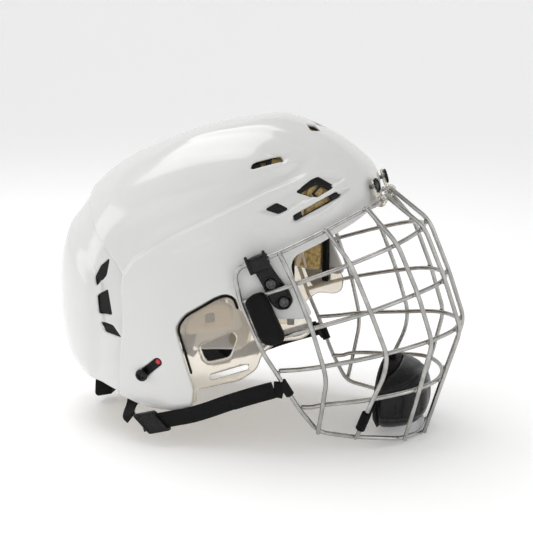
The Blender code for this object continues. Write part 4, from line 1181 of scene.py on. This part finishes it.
def add_guards():
    """Clear ear guards, size arms with their screws, and the red marks in the slots."""
    for label, sign in SIDES:
        shape = dome(region(EAR_EDGE, sign, (EAR_WINDOW, EAR_SLOT), SIDE_REACH), -3.3, -5.3, rim=0.9,
                     relief_of=guard_relief, follow=0.5, passes=2)
        stand_in("ear_guard_" + label, shape)
        shape = dome(region(rounded(ARM_OUTLINE, 3, 4), sign), -3.2, -5.6, relief_of=arm_relief,
                     rim=0.8, passes=3, longest=0.9)
        stand_in("size_arm_" + label, shape)
        mark = rounded(circle(SIZE_SLOT[1], 2.7, 14), 1, 2)
        piece = make("size_mark_" + label, dome(region(mark, sign), -1.4, -3.0, rim=0.6, passes=4,
                                                longest=0.6))
        piece.data.materials.append(RED_MARK)
        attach(piece, HELMET)
        center, normal = side_frame(*SIZE_SLOT[0], sign)
        add_screw(f"size_screw_{label}", center, normal, 5.4, 2.3, 2.4, 7.5)


def add_screw(name, center, normal, radius, foot, height, depth):
    """Screw with a domed head, a ring round its cross recess, and a shank."""
    top = foot + height
    rows = [(0.0, top)] + [(r, top) for r in np.linspace(0.12, 0.72, 16) * radius]
    rows += [(radius * 0.76, top - 0.22), (radius * 0.82, top - 0.1), (radius * 0.9, top - 0.3),
             (radius * 0.97, foot + height * 0.55), (radius, foot + height * 0.35),
             (radius, foot + 0.2), (radius - 0.2, foot), (1.8, foot), (1.8, -depth), (0.0, -depth)]
    shape = turned(center, normal, rows, 56, cross_recess(radius, height * 0.55), side=(0.3, 0.1, 1))
    stand_in(name, shape, 40)


# --------------------------------------------------------------------------------------
# clips that hold the cage
# --------------------------------------------------------------------------------------

HINGE = (113.0, 206.5)
HINGE_CLIP_Y = 26.5
HINGE_AXIS = (0.96, 0.0, 0.28)


def add_hinge_clips():
    """Clear clips wrapped round the cage's top wire, with a screw in an oval seat."""
    tail = [(104.6, 225.0), (106.0, 221.5), (107.6, 217.0), (109.2, 212.6)]
    curl = [(HINGE[0] + 3.55 * math.cos(t), HINGE[1] + 3.55 * math.sin(t))
            for t in np.radians(np.linspace(128, -178, 22))]
    for label, sign in SIDES:
        y = sign * HINGE_CLIP_Y
        path = [(x, y, z) for x, z in tail] + [(x, y, z) for x, z in curl]
        wide = [(0.72, 0.7), (0.94, 0.95), (1.0, 1.0), (1.0, 1.0)] + [(0.92, 1.0)] * len(curl)
        clip = sweep(path, strip(11.0, 2.4, 0.7), lambda t: (0, 1, 0), scales=wide)
        stand_in("hinge_clip_" + label, clip, 50)
        center = np.array([108.0, y, 219.0]) + 1.1 * np.array(HINGE_AXIS)
        down = np.array([0.28, 0.0, -0.96])
        oval = [center + 3.6 * math.cos(t) * np.array([-0.3, 0.95 * sign, 0.0])
                + 5.2 * math.sin(t) * down
                for t in np.linspace(0, 2 * math.pi, 40, endpoint=False)]
        seat = sweep(oval, ring(1.15, 12), closed=True)
        place_of(make("hinge_clip_seat_" + label, seat), "black_plastic", HELMET)
        add_screw("hinge_clip_screw_" + label, (108.0, y, 219.0), HINGE_AXIS, 3.2, 0.5, 1.6, 7.5)


SIDE_CLIP_OUTLINE = [(15, 166.5), (27.5, 171.8), (37, 155.5), (47.5, 141), (51, 132), (47, 124.8),
                     (39.5, 124.3), (34, 129.5), (26, 147)]
HOOK_CENTER = np.array([25.5, 97.9, 166.8])
HOOK_ALONG = np.array([0.92, 0.0, 0.39])
HOOK_DOWN = np.array([0.39, 0.0, -0.92])


def clip_relief(p):
    """Side clip plate: raised rails along its edges and a ring round each screw."""
    x, z = p[:, 0], p[:, 2]
    inside = polygon_distance(x, z, SIDE_CLIP_OUTLINE)
    height = 1.1 * (1 - smooth(1.7, 2.3, inside))
    for sx, sz in CLIP_SCREWS:
        gap = np.hypot(x - sx, z - sz)
        height = height + 0.5 * smooth(6.4, 5.9, gap) * smooth(4.6, 5.1, gap)
    return height


def hook_shape(sign):
    """Cover over the wire: roof, outer wall with side rails and two round ears at the top."""
    shapes = []
    base = 95.6
    section = [(5.0, base + 1.2), (-2.4, base + 1.2), (-3.4, base + 2.6), (-3.5, 100.0),
               (-2.9, 101.7), (-1.5, 102.2), (4.5, 102.2), (8.6, 101.9)]
    path = rounded([HOOK_CENTER + HOOK_DOWN * d + np.array([0, y - HOOK_CENTER[1], 0])
                    for d, y in section], 1.2, 3, closed=False)
    flip = np.array([1.0, sign, 1.0])
    shapes.append(sweep([np.array(p) * flip for p in path], strip(16.6, 1.7, 0.5),
                        lambda t: HOOK_ALONG))
    for along in (-7.9, 7.9):
        rail = [HOOK_CENTER + HOOK_ALONG * along + HOOK_DOWN * d
                + np.array([0, y - HOOK_CENTER[1], 0])
                for d, y in ((-6.8, 102.1), (-4.0, 102.7), (2.0, 103.1), (8.8, 102.8))]
        full, scales = tapered([p * flip for p in spline(rail, 4)], 0.7, 0.5)
        shapes.append(sweep(full, ring(1.3, 12), scales=scales))
    bar = [HOOK_CENTER + HOOK_ALONG * a + HOOK_DOWN * -2.9 + np.array([0, 102.5 - HOOK_CENTER[1], 0])
           for a in (-7.6, 0, 7.6)]
    shapes.append(sweep([p * flip for p in bar], ring(0.9, 12)))
    return shapes


def add_side_clips():
    """Black clips at the temples with two screws each."""
    outline = rounded(SIDE_CLIP_OUTLINE, 2.6, 4)
    for label, sign in SIDES:
        holes = [circle(screw, 2.2, 20) for screw in CLIP_SCREWS]
        plate = dome(region(outline, sign, holes), 2.9, 0.35, relief_of=clip_relief, rim=0.7,
                     follow=0.0, passes=3, longest=0.9)
        stand_in("side_clip_" + label, joined([plate] + hook_shape(sign)))
        for name, (x, z) in zip(("lower", "upper"), CLIP_SCREWS):
            center, normal = side_frame(x, z, sign)
            add_screw(f"side_clip_screw_{label}_{name}", center, normal, 4.4, 3.2, 1.6, 2.7)


# --------------------------------------------------------------------------------------
# cage
# --------------------------------------------------------------------------------------

WIRE = 1.9
BEND = 9.0
PERIMETER = [
    (113.0, 0, 206.5), (113.0, 41, 206.5), (101, 52.5, 202), (76, 77, 189.5), (42, 96, 173.3),
    (10.5, 99.3, 160.5), (6.5, 99.5, 153), (11, 98.8, 131), (28, 93, 88), (38, 87.5, 70),
    (55, 76.5, 36), (70, 68, 13.5), (101, 61.5, 9.5), (137, 43, 4.2), (150, 17, 1.2), (151, 0, 0.8),
]
VERTICALS = [
    [(114, 17, 210.5), (148.5, 17.5, 184), (167.5, 18, 139), (182, 18.5, 97), (168, 18, 50),
     (153.8, 17, 1.2)],
    [(104.6, 53.8, 205.3), (131, 55, 176.5), (148.5, 51, 134.5), (161.5, 49.5, 93.5),
     (151.5, 48.5, 49.5), (140.5, 47, 4.6)],
    [(76.5, 81, 191.5), (97.5, 80, 163.5), (114, 77, 123.5), (127, 69.5, 86), (125, 68.5, 68),
     (114.5, 67.5, 43.5), (102, 66, 10)],
    [(43, 100.2, 175), (55, 94.5, 147), (69, 92.5, 110), (78, 87, 76), (79, 82, 63),
     (75, 77, 38.5), (70.5, 72.3, 13.5)],
]
# each horizontal: its end beside the perimeter wire, then where on the verticals it passes
LEVELS = [
    ("cage_horizontal_1", [(13.6, 98.2, 132), (33, 95.2, 139.5)], 1),
    ("cage_horizontal_2", [(28.2, 90.0, 96.5), (45, 89.8, 102.5)], 2),
    ("cage_horizontal_3", [(39.5, 83.6, 70.5), (57, 83.5, 73.0)], 3),
    ("cage_horizontal_4", [(56, 72.4, 36.0), (65, 72.4, 37.0)], -2),
]
LEVEL_DROP = 2 * WIRE + 0.55


def inside_of(points, index):
    """Where a horizontal passes, just inside a vertical wire at its bend."""
    before, here, after = (np.array(points[i], float) for i in (index - 1, index, index + 1))
    start = here + (before - here) / np.linalg.norm(before - here) * BEND
    end = here + (after - here) / np.linalg.norm(after - here) * BEND
    base = 0.25 * start + 0.5 * here + 0.25 * end
    out = np.array([here[0] - 38.0, here[1], 0.0])
    normal = np.cross(end - start, np.array([-out[1], out[0], 0.0]))
    normal *= np.sign(normal @ out) / np.linalg.norm(normal)
    return tuple(base - normal * LEVEL_DROP)


def weld_beads(first, second):
    """Small melted bead where two wires touch, at the place where they come closest."""
    a, b = np.array(first), np.array(second)
    gaps = np.linalg.norm(a[:, None] - b[None], axis=2)
    i, j = np.unravel_index(np.argmin(gaps), gaps.shape)
    if gaps[i, j] > 2 * WIRE + 1.9:
        return []
    across = b[j] - a[i]
    middle = (a[i] + b[j]) / 2
    along = a[min(i + 1, len(a) - 1)] - a[max(i - 1, 0)]
    other = b[min(j + 1, len(b) - 1)] - b[max(j - 1, 0)]
    beads = []
    for side in (along, other):
        side = side / np.linalg.norm(side)
        path = [middle + side * s for s in np.linspace(-2.3, 2.3, 9)]
        scales = [(math.sqrt(max(1 - (s / 2.35) ** 2, 0.02)),) * 2
                  for s in np.linspace(-2.3, 2.3, 9)]
        beads.append(sweep(path, ring(1.25, 12), lambda t: across, scales=scales))
    return beads


def add_cage():
    """Cage wires and the weld beads between them."""
    half = PERIMETER[1:-1]
    loop = [PERIMETER[0]] + half + [PERIMETER[-1]] + mirror(half, -1)[::-1]
    rim = rounded(loop, BEND, 8)
    stand_in("cage_perimeter_wire", sweep(rim, ring(WIRE), closed=True))
    crossing, welds = [], []
    for name, ends, at in LEVELS:
        half = ends + [inside_of(points, at) for points in VERTICALS[::-1]]
        path = spline(half + mirror(half, -1)[::-1], 10)
        crossing.append(path)
        full, scales = tapered(path, 0.5, 0.75)
        stand_in(name, sweep(full, ring(WIRE), scales=scales), 50)
        for end in (path[:20], path[-20:]):
            welds += weld_beads(end, rim)
    for number, points in enumerate(VERTICALS, start=1):
        for label, sign in SIDES:
            path = rounded(mirror(points, sign), BEND, 8, closed=False)
            full, scales = tapered(path, 0.5, 0.75)
            stand_in(f"cage_vertical_{label}_{number}", sweep(full, ring(WIRE), scales=scales), 50)
            fine = spline(path, 6)
            for level in crossing:
                welds += weld_beads(fine, level)
            for end in (fine[:8], fine[-8:]):
                welds += weld_beads(end, spline(rim, 4))
    place_of(make("cage_weld_beads", joined(welds)), "cage_wire", CAGE)


BUMPER_OUTLINE = [(15, 133), (21, 139), (29, 141.5), (33, 138), (48, 107), (47, 101), (37, 96),
                  (30, 97.5), (27, 102)]


def add_bumpers():
    """Rubber bumpers where the wires meet at the sides."""
    outline = rounded(BUMPER_OUTLINE, 3.5, 5)
    rows = [(2.6, 105.0), (1.3, 104.6), (0.45, 103.7), (0.0, 102.3), (0.0, 98.6), (0.5, 97.7)]
    for label, sign in SIDES:
        def place(x, z, y):
            lower = float(smooth(108, 98, z)) * 4.2 * float(smooth(99, 103, y))
            return x, sign * (y - lower), z
        stand_in("bumper_pad_" + label, pillow(outline, rows, place, -0.5), 50)


# --------------------------------------------------------------------------------------
# chin cup
# --------------------------------------------------------------------------------------

CUP_CENTER = np.array([112.0, 0.0, 32.5])
CUP_SIZE = np.array([45.0, 44.0, 31.0])
CUP_POWER = 2.6
CUP_EDGE = [(118, -20), (117, 20), (116, 36), (117, 48), (123, 56), (130, 60), (134, 64), (134.5, 80)]
PAD_EDGE = [(109, -20), (113, 64), (124, 90)]


def curved(value):
    """Sine or cosine eased towards a box's outline."""
    return np.copysign(np.abs(value) ** (2 / CUP_POWER), value)


def cup_shape(edge, outer, inner, turns=160, rows=52):
    """Bowl in front of an edge line in the side view; outer and inner give depths."""
    line_z = np.array([p[1] for p in edge], float)
    line_x = np.array([p[0] for p in edge], float)
    turn = np.linspace(0, 2 * math.pi, turns, endpoint=False)

    def at(lift, depth):
        size = CUP_SIZE[None] - depth[:, None]
        reach = curved(np.sin(lift))
        return CUP_CENTER + size * np.stack([curved(np.cos(lift)), reach * curved(np.cos(turn)),
                                             reach * curved(np.sin(turn))], 1)

    low, high = np.zeros(turns), np.full(turns, 2.3)
    for _ in range(30):
        middle = (low + high) / 2
        p = at(middle, np.zeros(turns))
        front = p[:, 0] > np.interp(p[:, 2], line_z, line_x)
        low, high = np.where(front, middle, low), np.where(front, high, middle)
    shares = np.linspace(1, 0.02, rows)
    points = []
    for side, depth_of in ((0, outer), (1, inner)):
        for share in (shares[::-1] if side == 0 else shares):
            lift = low * share
            base = at(lift, np.zeros(turns))
            edge_gap = (low - lift) * 38.0
            wall = inner(base) - outer(base)
            curl = 0.5 * wall * (1 - np.sqrt(np.clip(1 - (1 - np.clip(edge_gap, 0, 1.4) / 1.4) ** 2,
                                                     0, 1)))
            points.append(at(lift, depth_of(base) + (curl if side == 0 else -curl)))
    total = len(points)
    verts = [tuple(p) for row in points for p in row]
    faces = [tuple(range(turns))]
    for r in range(total - 1):
        for k in range(turns):
            m = (k + 1) % turns
            faces.append((r * turns + k, r * turns + m, (r + 1) * turns + m, (r + 1) * turns + k))
    faces.append(tuple((total - 1) * turns + k for k in range(turns)))
    return verts, faces


def cup_outer(p):
    """Depth of the hard cup: a long groove at each side, a sunk lower panel, an upright rib."""
    x, y, z = p[:, 0], np.abs(p[:, 1]), p[:, 2]
    side = smooth(14, 24, y)
    groove = np.exp(-((z - 45 - 0.42 * (x - 127)) / 1.1) ** 2) * smooth(120, 124, x) * smooth(150, 145, x)
    lower = smooth(20, 17, z) * smooth(-2, 5, z)
    rib = np.exp(-((x - 127.5) / 1.5) ** 2) * smooth(21, 24, z) * smooth(46, 42, z)
    panel = smooth(42, 40, z) * smooth(22, 24, z) * smooth(130, 133, x)
    return 0.5 + side * (1.4 * groove + 0.8 * lower + 0.8 * panel - 0.4 * rib)


def cup_pad_outer(p):
    """Depth of the soft cup: under the hard one, and swelling out behind its edge."""
    line_z = [q[1] for q in CUP_EDGE]
    line_x = [q[0] for q in CUP_EDGE]
    behind = np.interp(p[:, 2], line_z, line_x) - p[:, 0]
    return 3.4 - 2.6 * smooth(0.5, 3.0, behind)


def add_chin_cup():
    """Hard cup, soft cup inside it, sleeves on the wires and the arms between."""
    hard = cup_shape(CUP_EDGE, cup_outer, lambda p: np.full(len(p), 3.0))
    stand_in("chin_cup", hard, 60)
    soft = cup_shape(PAD_EDGE, cup_pad_outer, lambda p: np.full(len(p), 11.0))
    stand_in("chin_cup_pad", soft, 60)
    for label, sign in SIDES:
        low, high = (np.array(VERTICALS[2][i], float) * (1, sign, 1) for i in (-1, -2))
        along = high - low
        length = np.linalg.norm(along)
        rows = [(2.2, 0.72), (3.4, 0.72), (4.0, 0.705)]
        for s in np.linspace(0.69, 0.28, 12):
            rows += [(4.2, s + 0.008), (4.0, s - 0.004)]
        rows += [(4.0, 0.265), (3.4, 0.25), (2.2, 0.25)]
        rows = [(r, s * length) for r, s in rows]
        stand_in("cup_sleeve_" + label, turned(low, along, rows, 28, closed=True), 50)
        middle = low + along * 0.485
        path = spline([(middle[0] - 0.5, sign * 59.5, middle[2]), (111, sign * 56, middle[2] + 2),
                       (112.5, sign * 46.4, 31)], 8)
        stand_in("cup_arm_" + label, sweep(path, strip(12.0, 2.6, 0.9), lambda t: (0.35, 0, 0.94)))
    nub = pillow(rounded([(118, -3.5), (126, -3), (126, 3), (118, 3.5)], 1.5, 3),
                 [(0.8, 66.3), (0.2, 65.9), (0.0, 65.2), (0.0, 60.0)], lambda x, y, z: (x, y, z), 0.3)
    place_of(make("cup_nub", nub, 50), "black_rubber", CAGE)


# --------------------------------------------------------------------------------------
# straps
# --------------------------------------------------------------------------------------

STRAP_PATH = [(37, 91.4, 56.6), (22, 92.2, 51.4), (0, 93.4, 43), (-18, 94, 35.2),
              (-34, 94, 28.9), (-50, 94, 24.4), (-78, 94, 16.5)]
REAR_WEB_PATH = [(-88, 77, 54), (-89, 77, 45), (-91, 76.3, 36), (-92.5, 78, 29),
                 (-93.0, 84.5, 24), (-91.5, 90.0, 21.8), (-88.6, 92.0, 20.6)]
NAPE_OUTLINE = [(-153, 50), (-156, 8), (-153.5, 5.5), (-139, 9), (-138, 12), (-148, 50)]
STRAP_WIDE = np.array([-0.35, 0.0, 0.94])
BUCKLE_CENTER = np.array([-68.5, 94.0, 19.2])
BUCKLE_ALONG = np.array([0.962, 0.0, 0.272])
BUCKLE_ACROSS = np.array([-0.272, 0.0, 0.962])


def stitches(path, up, count, rows):
    """Short raised threads across a strap near the start of a path."""
    shapes = []
    for k in range(count):
        here = np.array(path[2 + k], float)
        ahead = np.array(path[3 + k], float) - here
        for row in rows:
            start = here + up * row
            full, scales = tapered([start, start + ahead * 0.35, start + ahead * 0.7], 0.15, 0.6)
            shapes.append(sweep(full, ring(0.28, 8), scales=scales))
    return shapes


def strap_shape(sign):
    """Strap with its doubled, stitched end at the cage."""
    flip = np.array([1.0, sign, 1.0])
    path = [p * flip for p in spline(STRAP_PATH, 12)]
    main = sweep(path, strip(14.0, 1.8), lambda t: STRAP_WIDE)
    out = np.array([0.0, sign * 1.75, 0.0])
    tail = [p + out * min(1.0, 0.75 + 0.05 * i) for i, p in enumerate(path[:24])]
    full, scales = tapered(tail, 0.6, 0.8)
    second = sweep(full, strip(14.0, 1.6), lambda t: STRAP_WIDE, scales=scales)
    seam = [p + out * 1.5 for p in path[:24]]
    return joined([main, second] + stitches(seam, STRAP_WIDE, 16, (-5.0, 5.0)))


def loop_shape(sign):
    """Webbing wrapped round the cage wire and led back to the strap."""
    flip = np.array([1.0, sign, 1.0])
    low, high = (np.array(PERIMETER[i], float) * flip for i in (9, 10))
    along = (high - low) / np.linalg.norm(high - low)
    center = low + (high - low) * 0.42
    start = np.array(STRAP_PATH[0], float) * flip
    toward = start - center
    toward = toward - along * (toward @ along)
    toward /= np.linalg.norm(toward)
    other = np.cross(along, toward)
    turns = np.linspace(0, 2 * math.pi, 28, endpoint=False)
    circle = [center + 3.1 * (math.cos(t) * toward + math.sin(t) * other) for t in turns]
    wrap = sweep(circle, strip(14.4, 1.5), lambda t: along, closed=True)
    bridge = spline([start - (start - center) * 0.05, (start + center + 2.0 * toward) / 2,
                     center + 3.2 * toward], 8)
    lead = sweep(bridge, strip(13.6, 2.6), lambda t: STRAP_WIDE * (1 - t) - along * t)
    return joined([wrap, lead])


def buckle_shape(sign):
    """Slanted buckle with a tunnel for the strap, a raised frame and ribs on the sunk face."""
    flip = np.array([1.0, sign, 1.0])
    half_w, half_y = 9.6, 3.4
    outer, inner = [], []
    for k in range(96):
        turn = 2 * math.pi * k / 96
        c, s = math.cos(turn), math.sin(turn)
        round_c = math.copysign(abs(c) ** 0.32, c)
        round_s = math.copysign(abs(s) ** 0.32, s)
        outer.append((half_w * round_c, half_y * round_s))
        inner.append((7.75 * round_c, 1.7 * round_s))
    steps = np.linspace(0, 1, 44)
    rings = []
    for share in steps:
        row = []
        for w, y in outer:
            start = -10.0 - 0.521 * w
            s = start + 19.0 * share
            edge = min(share, 1 - share) * 19.0
            rim = min(edge, half_w - abs(w))
            sunk = 0.9 * float(smooth(1.6, 2.4, rim)) * float(smooth(2.6, 3.2, abs(y)))
            ribs = 0.25 * max(0.0, math.sin((share * 19.0) * 2 * math.pi / 2.6)) * (sunk > 0.6)
            bevel = 0.5 * float(smooth(1.0, 0.0, edge))
            row.append((s, w * (1 - bevel * 0.06), y - math.copysign(sunk - ribs + bevel, y)))
        rings.append(row)
    for share in steps[::-1]:
        rings.append([(-10.0 - 0.521 * w + 19.0 * share, w, y) for w, y in inner])
    points = [(BUCKLE_CENTER + BUCKLE_ALONG * s + BUCKLE_ACROSS * w + np.array([0, y, 0])) * flip
              for row in rings for s, w, y in row]
    faces = []
    for r in range(len(rings)):
        n = (r + 1) % len(rings)
        faces += [(r * 96 + k, r * 96 + (k + 1) % 96, n * 96 + (k + 1) % 96, n * 96 + k)
                  for k in range(96)]
    return points, faces


def add_straps():
    """Straps, their loops, buckles, rear webs and the nape tab."""
    for label, sign in SIDES:
        stand_in("cage_strap_" + label, strap_shape(sign), 60)
        stand_in("strap_loop_" + label, loop_shape(sign), 60)
        stand_in("strap_buckle_" + label, buckle_shape(sign), 45)
        web = [p * (1, sign, 1) for p in spline(REAR_WEB_PATH, 8)]
        stand_in("rear_web_" + label, sweep(web, strip(11.2, 1.8), lambda t: (0.8, 0, 0.35)), 60)
    outline = rounded(NAPE_OUTLINE, 1.6, 4)
    rows = [(1.0, 11.0), (0.3, 10.7), (0.0, 10.0), (0.0, -10.0), (0.3, -10.7), (1.0, -11.0)]
    nape = pillow(outline, rows, lambda x, z, y: (x, y, z))
    flat = [(y, z) for _, y, z in nape[0]]
    stand_in("nape_tab", (nape[0], nape[1], flat), 50)


add_shells()
add_vent_linings()
add_liners()
add_temple_foam()
add_guards()
add_guard_gap_shades()
add_hinge_clips()
add_side_clips()
add_cage()
add_bumpers()
add_chin_cup()
add_straps()
